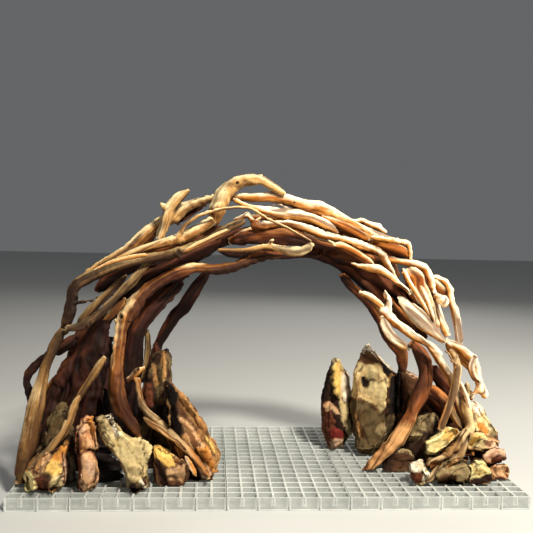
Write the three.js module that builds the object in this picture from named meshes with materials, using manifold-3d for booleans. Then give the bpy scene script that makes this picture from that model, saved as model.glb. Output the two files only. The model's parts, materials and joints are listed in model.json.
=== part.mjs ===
import * as THREE from "three";
import { mergeVertices } from "three/addons/utils/BufferGeometryUtils.js";
import Module from "manifold-3d";

// Driftwood arch of many limbs between two rock piles, on a plate of plastic grid panels.
// Millimetres, +Z up, front towards -Y, origin under the middle of the plate.

// Plate
const RIB_PITCH = 30;
const RIB_ROWS = 9;
const RIB_WIDTH = 2.4;
const PLATE_HEIGHT = 13;
const PANEL_CELLS = [2, 5, 4, 5, 1];
const PANEL_GAP = 0.8;

// Limits of the object and of the contact between pieces
const HALF_WIDTH = 254.6;
const HALF_DEPTH = 134.6;
const CONTACT_GAP = 0.4;
const GROUND = PLATE_HEIGHT + 0.3;

// Shape of the wood
const SMALLEST_STEP = 5;
const STRAIGHT_ENOUGH = 0.9;
const LONGEST_STEP = 30;
const SURFACE_WAVE = 0.05;
const SETTLE_ROUNDS = 600;
const SMOOTHING = 0.12;
const HOMING = 0.004;
const GATHER = 0.05;
const GATHER_REACH = 9;

// Viewpoint from which every outline was traced on the middle plane, y = 0
const EYE = new THREE.Vector3(-62.6, -855.3, 265);

const WOODS = {
  pale: [0xd9b27a, 0.72],
  honey: [0xbd8447, 0.7],
  brown: [0x8a5a34, 0.75],
  dark: [0x4f301f, 0.8],
  grey: [0x8b7a58, 0.8],
};
const STONES = {
  cream: [0xc9ae7c, 0.92],
  ochre: [0xb98a45, 0.92],
  yellow: [0xd6a94a, 0.9],
  peach: [0xc98f5e, 0.9],
  umber: [0x6b5233, 0.95],
};

// Limbs. route: x and z on the middle plane, and radius. depths: y from start to end, evenly spaced.
// Each branch is a twig, spur or strand that grows from the limb.
const LIMBS = [
  {
    name: "shoulder_limb",
    wood: "honey",
    depths: [-40, -46, -58, -70, -74, -72],
    route: [
      [-27, 281, 4], [-33, 279, 5], [-45, 273, 5], [-60, 265, 4], [-72, 259, 4], [-85, 252, 4],
      [-98, 246, 4.4], [-115, 240, 4.5], [-126, 238, 4.5], [-137, 237, 4.5], [-149, 234, 4.8],
      [-160, 231, 5], [-170, 228, 5.2], [-180, 224, 5.5], [-190, 219, 5.8], [-200, 214, 6],
      [-212, 207, 6.5], [-217, 198, 6.5], [-218, 188, 6.5], [-220, 175, 6.3], [-223, 161, 6],
    ],
    branches: [
      {
        depths: [-74, -80, -84],
        route: [[-213, 186, 2.4], [-205, 188, 1.5], [-196, 189, 1.3], [-185, 196, 0.9]],
      },
    ],
  },
  {
    name: "outer_left_leg",
    wood: "brown",
    follows: "shoulder_limb",
    depths: [-72, -78, -86, -97],
    pinned: 2,
    route: [
      [-226.5, 157, 5], [-233, 143, 5], [-240, 127, 5], [-246, 112, 5.5], [-250, 98, 6], [-252, 85, 6.5],
      [-255, 70, 7], [-258, 55, 7], [-261, 40, 7], [-264, 25, 7], [-267, 10, 7], [-270, -5, 7],
      [-272, -24, 7.5],
    ],
  },
  {
    name: "crooked_outer_limb",
    wood: "dark",
    depths: [-52, -56, -60, -58],
    route: [
      [-214, 150, 2.4], [-221, 144, 2.8], [-230, 138, 3.2], [-239, 131, 4], [-248, 124, 5], [-258, 115, 5],
      [-265, 106, 5], [-267, 97, 4.5], [-265, 88, 4.6], [-262, 78, 4], [-261, 69, 3],
    ],
  },
  {
    name: "grey_crossing_limb",
    wood: "grey",
    depths: [-50, -56, -66, -84, -92],
    route: [
      [-133, 234, 4], [-138, 228, 4.5], [-143, 220, 5], [-150, 212, 5.5], [-157, 205, 5.5],
      [-165, 198, 5.5], [-173, 190, 5.5], [-181, 181, 6], [-189, 173, 6], [-197, 166, 6],
      [-205, 160.5, 5.5], [-214, 158, 4.5], [-225, 158, 3.5],
    ],
  },
  {
    name: "upper_left_limb",
    wood: "honey",
    depths: [-38, -46, -56, -60],
    route: [
      [-64, 281, 5], [-71, 276, 6.5], [-80, 270, 6.5], [-90, 264, 6], [-100, 259, 5.4], [-115, 256, 5],
      [-130, 251, 5], [-140, 248, 4.2], [-150, 244, 3.6], [-160, 239, 3], [-170, 234, 3],
    ],
    branches: [
      {
        depths: [-52, -54, -51, -49, -48, -48],
        route: [
          [-103, 261, 2.4], [-95, 275, 1.9], [-80, 286, 1.9], [-65, 291, 1.9], [-50, 295, 1.8],
          [-35, 296, 1.8], [-20, 295, 1.8], [-12, 291, 1.8], [-3, 285, 1.8], [8, 280, 1.8], [20, 275, 1.8],
          [30, 270, 1.8], [38, 266, 1.8], [50, 259, 1.4],
        ],
      },
    ],
  },

  {
    name: "antler_limb",
    wood: "honey",
    depths: [-24, -14, -8],
    route: [
      [-124, 257, 5], [-118, 272, 5], [-114, 284, 5.5], [-110, 295, 5.5], [-103, 304, 5], [-96, 309, 4],
      [-90, 314, 2.5],
    ],
    branches: [{ depths: [-16, -15], route: [[-113, 291, 3.6], [-120, 295, 2.8], [-124, 299, 1.6]] }],
  },
  {
    name: "back_left_limb",
    wood: "honey",
    depths: [12, 14, 8, -6, -24],
    route: [
      [-56, 308, 4], [-73, 303, 4.5], [-85, 299, 5.5], [-97, 293, 7], [-108, 284, 8], [-122, 276, 5.6],
      [-131, 270, 5], [-140, 262, 6], [-150, 252, 6], [-160, 244, 5], [-175, 236, 5], [-190, 228, 4.4],
      [-205, 215, 4],
    ],
  },
  {
    name: "crown_loop",
    wood: "honey",
    depths: [-18, -22, -20, -14, -6],
    route: [
      [-61, 276, 4.4], [-60, 289, 7], [-57, 300, 7.5], [-53, 310, 7.5], [-46, 318, 7.5], [-38, 324, 7],
      [-28, 327, 6.5], [-18, 328, 5.8], [-8, 326, 5], [2, 321, 5], [10, 316, 4.5], [18, 311, 4],
    ],
    branches: [{ depths: [-16, -16], route: [[-13, 327, 3.2], [-11, 333, 2.6], [-7, 335, 1.4]] }],
  },
  {
    name: "ridge_limb",
    wood: "pale",
    depths: [4, 2, 4, 8, 10, 6],
    route: [
      [-47, 306, 3.5], [-38, 308, 4.4], [-25, 307, 5], [-12, 307, 5.4], [0, 308, 6], [18, 305, 6.4],
      [30, 301, 6.4], [41, 298.5, 6.4], [52, 297, 7.4], [62, 292.5, 8.4], [71, 286.5, 9.4], [80, 281, 10],
      [90, 277, 9.5], [100, 274, 8.4], [110, 270.5, 6.6], [120, 267.5, 5.2], [130, 264.5, 4.8],
      [140, 261, 4.6], [150, 258.5, 5], [157, 254, 5], [160.5, 246, 4.2], [165, 236, 3.5],
    ],
    branches: [
      {
        depths: [12, 20, 22, 18],
        route: [[84, 281, 5], [94, 284, 3.6], [105, 284, 4], [115, 281, 4.4], [125, 277, 4], [133, 271, 2]],
      },
      {
        depths: [7, 9, 10, 8],
        flat: 0.45,
        route: [[112, 268, 3], [122, 260, 5.6], [133, 255, 8], [145, 250, 9], [155, 247, 8], [162, 242, 4]],
      },
    ],
  },

  {
    name: "second_ridge_limb",
    wood: "pale",
    depths: [-10, -12, -12, -14],
    route: [
      [-42, 306, 3], [-30, 300, 3.2], [-20, 297, 3], [-10, 294.5, 3.6], [0, 291.5, 5], [10, 290, 6],
      [20, 289.5, 6.2], [30, 288.5, 6.2], [40, 288, 5.6], [49, 286, 5.8], [58, 282, 6], [66, 277.5, 5],
      [73, 274, 3.4], [79, 269, 1.5],
    ],
    branches: [
      { depths: [-11, -13, -12], route: [[-3, 292, 1.6], [4, 299.5, 1.2], [12, 300.5, 1.2], [24, 294, 1.6]] },
    ],
  },

  {
    name: "mid_ridge_limb",
    wood: "pale",
    depths: [-24, -26, -28, -30, -32],
    route: [
      [-20, 275, 3.4], [-8, 276, 5.4], [2, 278, 4.8], [12, 279, 4.4], [22, 279.5, 4.4], [32, 277.5, 4.8],
      [42, 274, 4.8], [52, 270, 4.8], [62, 266.5, 4.6], [72, 264.5, 4.4], [82, 263, 4.6], [92, 260, 5],
      [102, 257, 5.5], [112, 254, 5], [122, 251, 4.4], [130, 246, 4.4], [135, 239, 4.2], [139, 231, 4],
      [143, 223, 3.8], [148, 215, 3.5],
    ],
    branches: [
      {
        depths: [-25, -27, -26, -26],
        route: [[-14, 277, 3.4], [-20, 282, 4], [-24, 288, 4], [-33, 285, 2.4], [-42, 281, 1.2]],
      },
      { depths: [-25, -28], route: [[-18, 281, 2.4], [-13, 282, 1.8], [-9, 287, 1.2]] },
    ],
  },


  {
    name: "centre_leg_limb",
    wood: "honey",
    depths: [-78, -72, -66, -62, -54, -40, -30, -22, -16],
    route: [
      [-142, 32, 5], [-147, 45, 6.5], [-154, 54, 8], [-160, 64, 8.5], [-165, 76, 8], [-168, 88, 8],
      [-169, 100, 7], [-169, 112, 6.2], [-168, 125, 6], [-166, 138, 6], [-164, 150, 6.2],
      [-162, 162, 6.8], [-158, 173, 8], [-152, 183, 7.6], [-144, 193, 7.5], [-134, 203, 7.5],
      [-120, 213, 7], [-105, 221, 6.5], [-90, 226, 5.6], [-75, 227, 5], [-60, 225.5, 5.5],
      [-50, 227, 5.5], [-40, 229, 5], [-30, 233, 5], [-20, 237.5, 5.2], [-10, 240, 4], [0, 242, 3.5],
      [13, 243.5, 3],
    ],
  },
  {
    name: "hook_limb",
    wood: "honey",
    depths: [-36, -40, -44, -44],
    route: [
      [-58, 248, 2.5], [-45, 247, 2.6], [-35, 247, 2.6], [-25, 248, 2.6], [-15, 251, 2.7], [-5, 253, 3.2],
      [5, 252.5, 3.2], [15, 250, 3.2], [22, 247.5, 3.5], [30, 247, 4], [38, 248, 3.8], [45, 252, 3.5],
      [50, 257, 3],
    ],
    branches: [{ depths: [-43, -44], route: [[1, 252, 2.6], [2, 258, 2.2], [5, 261, 1.2]] }],
  },
  {
    name: "inner_dark_limb",
    wood: "brown",
    depths: [-14, -10, -8, -8, -12, -14],
    flat: 0.7,
    route: [
      [-44, 259, 5], [-30, 262, 6.5], [-15, 263.5, 8], [0, 264, 9.5], [15, 264, 9.5], [30, 263, 9],
      [44, 260, 7.5], [58, 255.5, 6], [70, 252.5, 5.6], [80, 251, 5.4], [90, 248, 5], [100, 245.5, 4.6],
      [110, 243, 4.6], [121, 240, 5], [133, 235.5, 5],
    ],
  },
  {
    name: "left_inner_limb",
    wood: "dark",
    depths: [-36, -34, -30, -24, -18],
    flat: 0.7,
    route: [
      [-182, 164, 3], [-174, 173, 4], [-166, 183, 5], [-158, 193, 6], [-150, 202, 6.6], [-141, 210, 7],
      [-130, 216.5, 8], [-118, 223, 9], [-106, 229.5, 9.6], [-94, 236, 9.6], [-82, 242, 9.4],
      [-70, 248, 8.4], [-60, 253, 6.6], [-52, 256, 5],
    ],
  },
  {
    name: "olive_back_limb",
    wood: "brown",
    depths: [-62, -54, -44, -34],
    route: [
      [-212, 162, 3.6], [-205, 170, 4.6], [-198, 177, 5.2], [-190, 185, 5.4], [-182, 193, 5.2],
      [-174, 201, 4.6], [-166, 209, 4], [-158, 217, 3.4],
    ],
  },
  {
    name: "dark_bulb_limb",
    wood: "dark",
    depths: [-34, -32, -30, -28],
    route: [
      [-190, 199, 4], [-185, 205, 7.6], [-178, 211, 9], [-169, 218, 8], [-160, 224, 6.4], [-150, 229, 5.6],
      [-138, 233, 5],
    ],
  },

  {
    name: "underside_limb",
    wood: "dark",
    depths: [8, 10, 10, 8, 4],
    flat: 0.6,
    route: [
      [8, 250, 3], [20, 247.5, 4.4], [35, 247, 5], [48, 247, 6.6], [60, 245.5, 8.4], [70, 241.5, 9],
      [80, 237, 9.4], [90, 231, 9.6], [100, 224, 10], [110, 216.5, 10.4], [120, 208.5, 10.4],
      [130, 199.5, 10], [141, 189.5, 9.6], [152, 178.5, 9.4], [162, 168, 9], [172, 159, 8], [183, 151, 6],
    ],
  },

  {
    name: "dark_arch_limb",
    wood: "dark",
    depths: [-10, -14, -18, -20, -18],
    route: [
      [-96, 210, 4], [-103, 205, 6], [-110, 199, 8], [-120, 189.5, 9], [-130, 179, 9], [-138, 169, 9],
      [-144, 159, 8.4], [-149, 146, 8], [-152, 132, 8], [-154, 116, 8], [-156, 98, 7.4], [-158, 78, 6.6],
    ],
  },

  {
    name: "rear_leg",
    wood: "dark",
    depths: [18, 26, 32, 34],
    route: [
      [-66, 224, 5], [-72, 216, 6], [-80, 206, 7], [-86, 195, 7], [-94, 184, 7.5], [-104, 174, 7],
      [-111, 163, 6.5], [-117, 152, 6], [-122, 140, 5], [-124, 122, 5], [-126, 98, 5],
    ],
  },
  {
    name: "rear_stick",
    wood: "grey",
    depths: [2, 0, -4],
    route: [
      [-134, 157, 3], [-133, 146, 4], [-133, 135, 4], [-134, 125, 4], [-135, 115, 3], [-137, 107, 2.4],
      [-140, 96, 1.5],
    ],
  },
  {
    name: "pale_front_leg",
    wood: "honey",
    depths: [-56, -60, -70, -76, -79],
    pinned: 2,
    route: [
      [-145, 102, 4], [-144, 90, 3.6], [-142, 80, 4], [-138, 70, 4.5], [-132, 62, 5], [-124, 55, 5],
      [-115, 49.5, 5], [-107, 43, 5], [-99, 36, 5], [-91, 29, 5], [-84, 23, 4.5], [-77, 15, 4.2],
      [-70, 4, 3.6], [-66, -14, 3.4],
    ],
    branches: [
      { depths: [-56, -57, -58], route: [[-156, 98, 3.4], [-148, 107, 4], [-143, 111, 4], [-136, 114, 3.2]] },
    ],
  },
  {
    name: "thin_left_front_limb",
    wood: "honey",
    depths: [-78, -82, -88, -92],
    route: [
      [-181, 126, 3.5], [-186, 118, 4.4], [-192, 108, 4.6], [-198, 98, 4.6], [-205, 88, 4.6], [-212, 78, 5],
      [-217, 68, 5], [-219, 58, 5.5], [-222, 48, 5], [-228, 38, 5], [-234, 26, 5],
    ],
  },
  {
    name: "broad_trunk",
    wood: "dark",
    depths: [-44, -46, -48, -56],
    flat: 0.4,
    route: [
      [-180, 176, 8], [-187, 164, 14], [-194, 149, 19], [-198, 131, 22.5], [-200, 111, 22.5], [-202, 91, 21],
      [-206, 71, 17], [-210, 50, 12.5], [-210, 30, 9], [-208, 10, 7], [-207, -4, 5],
    ],
    branches: [
      {
        depths: [-46, -54, -60, -66],
        route: [
          [-208, 136, 4], [-217, 120, 5], [-227, 103, 6.4], [-235, 87, 7.6], [-240, 71, 8], [-243, 55, 7.6],
          [-246, 34, 6.6],
        ],
      },
    ],
  },

  {
    name: "corner_limb",
    wood: "pale",
    depths: [-8, -4, -2, -8, -14],
    route: [
      [132, 241, 4], [145, 239, 4], [158, 238, 4.2], [170, 236, 4.6], [179, 233, 4.6], [184.5, 225, 4.4],
      [188, 213, 4.2], [191, 200, 4], [195, 188, 4], [200, 175, 4.2], [205, 163, 4.6], [210, 153, 5],
    ],
    branches: [{ depths: [-4, -14, -30], route: [[190, 202, 3.4], [198, 197, 4.2], [204, 195, 4.8]] }],
  },
  {
    name: "outer_loop_limb",
    wood: "honey",
    depths: [10, 8, 4, 0, -4],
    route: [
      [184, 222, 3.6], [194, 221, 4], [204, 216, 4.5], [210, 206, 4.6], [212, 194, 4.6], [216, 182, 5],
      [220, 170, 5], [222, 160, 5], [223, 150, 5], [222, 141, 4.5],
    ],
  },
  {
    name: "fan_limb",
    wood: "honey",
    depths: [-14, -18, -22],
    flat: 0.5,
    route: [
      [160, 231, 6], [170, 221, 9], [178, 206, 8.6], [185, 191, 7], [190, 179, 5.4], [193, 169, 5],
      [196, 159, 4.6],
    ],
    branches: [
      {
        depths: [-18, -19, -20, -21],
        route: [
          [154, 229, 2.2], [160, 219, 2.6], [166, 208, 2.8], [174, 197, 2.8], [182, 187, 2.8], [191, 177, 3],
        ],
      },
      {
        depths: [-18, -20, -21, -22],
        route: [
          [146, 216, 2.2], [155, 209, 2.6], [163, 203, 2.8], [171, 194, 2.8], [180, 184, 2.8], [190, 173, 3],
        ],
      },
    ],
  },
  {
    name: "torn_slab_limb",
    wood: "pale",
    depths: [-32, -34, -36],
    flat: 0.6,
    route: [
      [150, 198, 3.5], [156, 192, 5], [164, 185, 7.2], [172, 177, 8], [181, 168.5, 8], [190, 161, 6.4],
      [198, 153, 5.2], [206, 145, 4.2],
    ],
  },
  {
    name: "front_white_limb",
    wood: "pale",
    depths: [-48, -52, -54, -54],
    route: [
      [130, 183, 4.4], [136, 181, 5], [141, 175, 5], [147, 168.5, 5], [154, 163, 5], [161, 158, 4.6],
      [169, 153, 4.6], [177, 149, 4.2], [185, 145, 4.1], [192, 141, 3.8], [198, 137, 3.4], [203, 132, 2.4],
    ],
    branches: [
      { depths: [-50, -46, -42], route: [[139, 181, 4], [139, 191, 4], [137, 199, 3.6], [134, 206, 2]] },
      {
        depths: [-54, -52, -50],
        route: [
          [188, 142, 3.6], [194, 133, 4.4], [200, 126, 5], [207, 118, 5], [212, 110, 5], [215, 102, 4],
          [216, 92, 2.6],
        ],
      },
    ],
  },

  {
    name: "inner_leg_limb",
    wood: "brown",
    depths: [-4, 2, 8, 14, 16],
    route: [
      [84, 224, 5], [94, 211, 5.2], [103, 202.5, 5.2], [112, 195.5, 5.2], [120, 187, 5.2], [126.5, 177, 5.2],
      [131, 166, 5.4], [137, 155, 6], [144, 146.5, 7], [152, 139.5, 7.5], [157, 131, 7.2], [157.5, 119, 6.5],
      [156, 106, 6],
    ],
  },
  {
    name: "front_big_leg",
    wood: "brown",
    depths: [-30, -36, -44, -50, -53],
    pinned: 2,
    route: [
      [167, 147, 6], [172, 141, 6.6], [177, 134, 7.2], [182, 124, 7.8], [185, 112, 8], [184, 98, 8],
      [180, 85, 8], [173, 72, 8], [166, 58, 8], [160, 45, 8], [153, 33, 8], [143, 22, 7.5], [133, 12, 6.6],
      [124, 3, 5.4], [113, -10, 4],
    ],
  },

  {
    name: "right_thin_leg",
    wood: "honey",
    depths: [-60, -64, -66, -66],
    route: [
      [213, 138, 3], [219, 129, 3.5], [222, 118, 4], [221, 105, 4], [219, 92, 4.5], [216, 80, 4.5],
      [212, 68, 4.5], [207, 56, 4.5], [203, 44, 4],
    ],
    branches: [
      {
        depths: [-62, -64, -65],
        route: [[205, 138, 1.2], [211, 133.5, 1.5], [214.5, 126, 1.5], [220, 120, 1.6]],
      },
    ],
  },
  {
    name: "gnarled_end_limb",
    wood: "pale",
    depths: [-20, -28, -34, -38],
    route: [
      [206, 151, 4], [212, 148, 5], [219, 143.5, 5], [226, 139, 5.2], [233, 133, 6], [239.5, 126, 6],
      [243, 117, 5.2], [246, 107, 5], [249, 97, 6], [252, 89, 5.6], [257, 83, 3.6],
    ],
    branches: [
      { depths: [-36, -40], route: [[247, 92, 3.4], [242, 85, 2.6], [237, 79, 1.4]] },
      {
        depths: [-22, -20, -22],
        route: [[209, 147, 4], [214, 136, 4.4], [224, 129, 4.4], [233, 122, 4], [240, 112, 3]],
      },
    ],
  },


  {
    name: "right_low_limb",
    wood: "brown",
    depths: [-44, -52, -66, -84, -96],
    pinned: 1,
    route: [
      [236, 99, 4], [234, 88, 5], [233, 75, 5], [237, 60, 5], [239, 48, 5.4], [235, 38, 7], [230, 28, 8.6],
      [226, 17, 8.6], [218, 7, 7.6], [208, -2, 6], [198, -10, 5], [186, -20, 3.6],
    ],
    branches: [
      {
        depths: [-66, -80, -88, -92],
        route: [
          [236, 44, 3.6], [229, 34, 4.2], [223, 25, 4.4], [214, 16, 4], [204, 11.5, 3], [192, 9, 3],
          [188, 3, 2.4],
        ],
      },
    ],
  },


  {
    name: "bright_patch_limb",
    wood: "pale",
    depths: [-34, -36, -38, -38],
    route: [
      [93, 236, 1.6], [104, 232, 2.6], [115, 231, 4], [125, 229.5, 5], [135, 225, 5.2], [145, 217.5, 4.6],
      [155, 210, 4.2], [165, 202, 4],
    ],
  },
];

// Rocks. outline: x and z on the middle plane. depth: y of the rim. thick: front to back.
const ROCKS = [
  {
    name: "left_corner_rock",
    stone: "ochre",
    depth: -110,
    thick: 34,
    outline: [
      [-266, -24], [-268, -8], [-261, 8], [-251, 18], [-240, 20], [-228, 22], [-222, 33], [-220, 14],
      [-222, -8], [-228, -22], [-240, -30], [-258, -32],
    ],
  },
  {
    name: "left_olive_slab",
    stone: "umber",
    depth: -92,
    thick: 26,
    outline: [
      [-252, 10], [-246, 38], [-240, 56], [-228, 71], [-221, 69], [-218, 40], [-214, 12], [-214, -20],
      [-240, -24],
    ],
  },
  {
    name: "left_split_rock",
    stone: "peach",
    depth: -112,
    thick: 30,
    outline: [
      [-211, 44], [-201, 57], [-193, 61], [-189, 50], [-184, 25], [-195, 17], [-188, 6], [-183, -8],
      [-186, -22], [-203, -32], [-209, -20], [-207, -4], [-210, 20],
    ],
  },

  {
    name: "left_star_rock",
    stone: "cream",
    depth: -112,
    thick: 30,
    outline: [
      [-189, 56], [-173, 66], [-166, 46], [-158, 34], [-149, 36], [-140, 33], [-131, 28], [-128, 16],
      [-134, 4], [-132, -10], [-130, -28], [-152, -32], [-156, -10], [-164, 10], [-174, 22], [-185, 38],
    ],
  },
  {
    name: "left_streaked_slab",
    stone: "ochre",
    depth: -70,
    thick: 34,
    outline: [
      [-112, 99], [-101, 91], [-88, 76], [-77, 60], [-69, 46], [-61, 32], [-56, 20], [-52, 8], [-56, -4],
      [-62, -22], [-86, -22], [-104, 20], [-112, 60],
    ],
  },
  {
    name: "left_yellow_rock",
    stone: "yellow",
    depth: -92,
    thick: 28,
    outline: [
      [-125, 26], [-117, 26], [-101, 14], [-91, 14], [-86, 4], [-88, -8], [-92, -22], [-106, -26],
      [-124, -18], [-126, 4],
    ],
  },
  {
    name: "left_tall_slab",
    stone: "umber",
    depth: -34,
    thick: 30,
    outline: [
      [-131, 121], [-121, 132], [-112, 138], [-108, 120], [-108, 98], [-104, 70], [-100, 30], [-104, -8],
      [-140, -10], [-146, 40], [-140, 86],
    ],
  },

  {
    name: "right_front_slab",
    stone: "ochre",
    depth: 14,
    thick: 40,
    outline: [
      [101, 119], [110, 136], [116, 143], [125, 135], [134, 126], [146, 112], [155, 106], [152, 80],
      [150, 60], [145, 36], [136, 24], [122, 14], [112, 12], [106, 30], [99, 58], [101, 90],
    ],
  },
  {
    name: "right_small_tall_rock",
    stone: "umber",
    depth: 34,
    thick: 26,
    outline: [
      [79, 129], [86, 120], [92, 108], [97, 90], [99, 66], [97, 40], [90, 26], [80, 20], [70, 34],
      [66, 58], [67, 90], [72, 112],
    ],
  },
  {
    name: "right_back_rock",
    stone: "umber",
    depth: 30,
    thick: 44,
    outline: [
      [153, 117], [164, 113], [178, 103], [184, 84], [186, 50], [188, 20], [160, 14], [152, 50],
      [151, 90],
    ],
  },
  {
    name: "right_olive_rock",
    stone: "umber",
    depth: -26,
    thick: 40,
    outline: [
      [163, 36], [172, 58], [181, 63], [200, 62], [204, 48], [206, 24], [200, -4], [172, -6], [162, 12],
    ],
  },
  {
    name: "right_brown_rock",
    stone: "umber",
    depth: -40,
    thick: 30,
    outline: [[146, 14], [158, 22], [168, 22], [178, 12], [176, -2], [168, -14], [134, -12], [136, 2]],
  },
  {
    name: "right_yellow_rock",
    stone: "yellow",
    depth: -66,
    thick: 30,
    outline: [
      [183, 27], [188, 33], [197, 37], [208, 47], [215, 47], [228, 41], [220, 33], [212, 26], [206, 18],
      [196, 15], [188, 16],
    ],
  },

  {
    name: "right_triangle_rock",
    stone: "cream",
    depth: -92,
    thick: 22,
    outline: [
      [167, 1], [181, 12], [185, 2], [188, -5], [197, -6], [193, -14], [188, -24], [180, -24],
      [172, -10],
    ],
  },

  {
    name: "right_base_rock",
    stone: "umber",
    depth: -82,
    thick: 34,
    outline: [
      [196, -8], [206, 2], [214, 12], [226, 15], [234, 10], [241, -2], [242, -20], [222, -26], [200, -24],
    ],
  },

  {
    name: "right_star_rock",
    stone: "yellow",
    depth: -88,
    thick: 22,
    outline: [
      [236, 3], [244, 9], [252, 9], [260, 3], [265, -4], [268, -14], [262, -24], [242, -24], [238, -14], [243, -6],
    ],
  },

  {
    name: "right_edge_rock",
    stone: "peach",
    depth: -68,
    thick: 34,
    outline: [
      [258, 1], [268, 4], [280, 8], [286, 5], [290, -3], [289, -14], [284, -22], [264, -22], [260, -10],
    ],
  },
  {
    name: "right_pink_rock",
    stone: "peach",
    depth: -66,
    thick: 30,
    outline: [[253, 8], [256, 20], [266, 23], [277, 24], [283, 15], [284, 8], [274, 4], [262, 4]],
  },
  {
    name: "right_beige_rock",
    stone: "yellow",
    depth: -62,
    thick: 28,
    outline: [
      [236, 34], [243, 40], [251, 42], [261, 34], [270, 32], [275, 26], [268, 21], [252, 20], [240, 20],
    ],
  },

  {
    name: "right_tall_slab",
    stone: "ochre",
    depth: -44,
    thick: 26,
    outline: [
      [238, 72], [243, 80], [252, 69], [262, 55], [268, 46], [271, 34], [264, 8], [262, -8], [246, -8],
      [240, 20], [238, 46],
    ],
  },

];

const wasm = await Module();
wasm.setup();

// Point seen at x, z on the middle plane, pushed along its line of sight to depth y.
function onSightLine(x, z, y) {
  const reach = (y - EYE.y) / -EYE.y;
  return new THREE.Vector3(EYE.x + (x - EYE.x) * reach, y, EYE.z + (z - EYE.z) * reach);
}

function reachAt(y) {
  return (y - EYE.y) / -EYE.y;
}

function solidFrom(geometry) {
  const plain = new THREE.BufferGeometry();
  plain.setAttribute("position", geometry.getAttribute("position"));
  if (geometry.index) plain.setIndex(geometry.index);
  const merged = mergeVertices(plain, 1e-4);
  const mesh = new wasm.Mesh({
    numProp: 3,
    vertProperties: new Float32Array(merged.attributes.position.array),
    triVerts: new Uint32Array(merged.index.array),
  });
  return new wasm.Manifold(mesh);
}

function geometryFrom(solid) {
  const mesh = solid.getMesh();
  const geometry = new THREE.BufferGeometry();
  geometry.setAttribute("position", new THREE.BufferAttribute(new Float32Array(mesh.vertProperties), 3));
  geometry.setIndex(new THREE.BufferAttribute(new Uint32Array(mesh.triVerts), 1));
  geometry.computeVertexNormals();
  return geometry;
}

// A cut can leave crumbs, and only the main body is kept.
function mainBody(solid) {
  const bodies = solid.decompose();
  return bodies.reduce((best, body) => (body.volume() > best.volume() ? body : best), bodies[0]);
}

function blockSolid(low, high) {
  const size = new THREE.Vector3().subVectors(high, low);
  const middle = new THREE.Vector3().addVectors(high, low).multiplyScalar(0.5);
  const box = new THREE.BoxGeometry(size.x, size.y, size.z);
  box.translate(middle.x, middle.y, middle.z);
  return solidFrom(box);
}

// Space the wood and the stone may take: above the plate and inside its outline.
const allowed = blockSolid(
  new THREE.Vector3(-HALF_WIDTH, -HALF_DEPTH, GROUND),
  new THREE.Vector3(HALF_WIDTH, HALF_DEPTH, 500),
);

// Plate

function platePanel(firstRib, cells) {
  const halfPlateX = (RIB_PITCH * PANEL_CELLS.reduce((sum, n) => sum + n, 0)) / 2;
  const halfPlateY = (RIB_PITCH * RIB_ROWS) / 2;
  const left = -halfPlateX + RIB_PITCH * firstRib;
  const right = left + RIB_PITCH * cells;
  const leftGap = firstRib === 0 ? 0 : PANEL_GAP / 2;
  const rightGap = right > halfPlateX - 1 ? 0 : PANEL_GAP / 2;
  let panel = blockSolid(
    new THREE.Vector3(left + leftGap, -halfPlateY, 0),
    new THREE.Vector3(right - rightGap, halfPlateY, PLATE_HEIGHT),
  );
  for (let column = 0; column < cells; column++) {
    for (let row = 0; row < RIB_ROWS; row++) {
      const edgeLeft = column === 0 ? RIB_WIDTH + leftGap : RIB_WIDTH / 2;
      const edgeRight = column === cells - 1 ? RIB_WIDTH + rightGap : RIB_WIDTH / 2;
      const edgeFront = row === 0 ? RIB_WIDTH : RIB_WIDTH / 2;
      const edgeBack = row === RIB_ROWS - 1 ? RIB_WIDTH : RIB_WIDTH / 2;
      const x = left + RIB_PITCH * column;
      const y = -halfPlateY + RIB_PITCH * row;
      const cell = blockSolid(
        new THREE.Vector3(x + edgeLeft, y + edgeFront, -1),
        new THREE.Vector3(x + RIB_PITCH - edgeRight, y + RIB_PITCH - edgeBack, PLATE_HEIGHT + 1),
      );
      panel = panel.subtract(cell);
    }
  }
  return panel;
}

// Limbs

// Value at a share of the way through evenly spaced values.
function blend(values, share) {
  const at = Math.min(Math.max(share, 0), 1) * (values.length - 1);
  const first = Math.min(Math.floor(at), values.length - 2);
  return values[first] + (values[first + 1] - values[first]) * (at - first);
}

// A route without the points that a straight, evenly tapering run passes through anyway.
function thinned(route) {
  const kept = [route[0]];
  let from = 0;
  for (let to = 2; to < route.length; to++) {
    const [x0, z0, r0] = route[from];
    const [x1, z1, r1] = route[to];
    const run = Math.hypot(x1 - x0, z1 - z0);
    const bends = route.slice(from + 1, to).some(([x, z, r]) => {
      const aside = Math.abs((x1 - x0) * (z - z0) - (z1 - z0) * (x - x0)) / run;
      const share = Math.hypot(x - x0, z - z0) / run;
      return aside > STRAIGHT_ENOUGH || Math.abs(r - r0 - (r1 - r0) * share) > STRAIGHT_ENOUGH;
    });
    if (bends || run > LONGEST_STEP) {
      from = to - 1;
      kept.push(route[from]);
    }
  }
  kept.push(route[route.length - 1]);
  return kept;
}

// A traced line with its lengths, radii and starting depths.
function trace(tracing, flat) {
  const line = { ...tracing, route: thinned(tracing.route) };
  const lengths = [0];
  for (let i = 1; i < line.route.length; i++) {
    const [x0, z0] = line.route[i - 1];
    const [x1, z1] = line.route[i];
    lengths.push(lengths[i - 1] + Math.hypot(x1 - x0, z1 - z0));
  }
  const total = lengths[lengths.length - 1];
  return {
    name: line.name || "branch",
    follows: line.follows || "nothing",
    route: line.route,
    lengths,
    flat,
    home: lengths.map((length) => blend(line.depths, length / total)),
    depths: lengths.map((length) => blend(line.depths, length / total)),
    pinnedFrom: line.route.length - (line.pinned || 0),
  };
}

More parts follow.
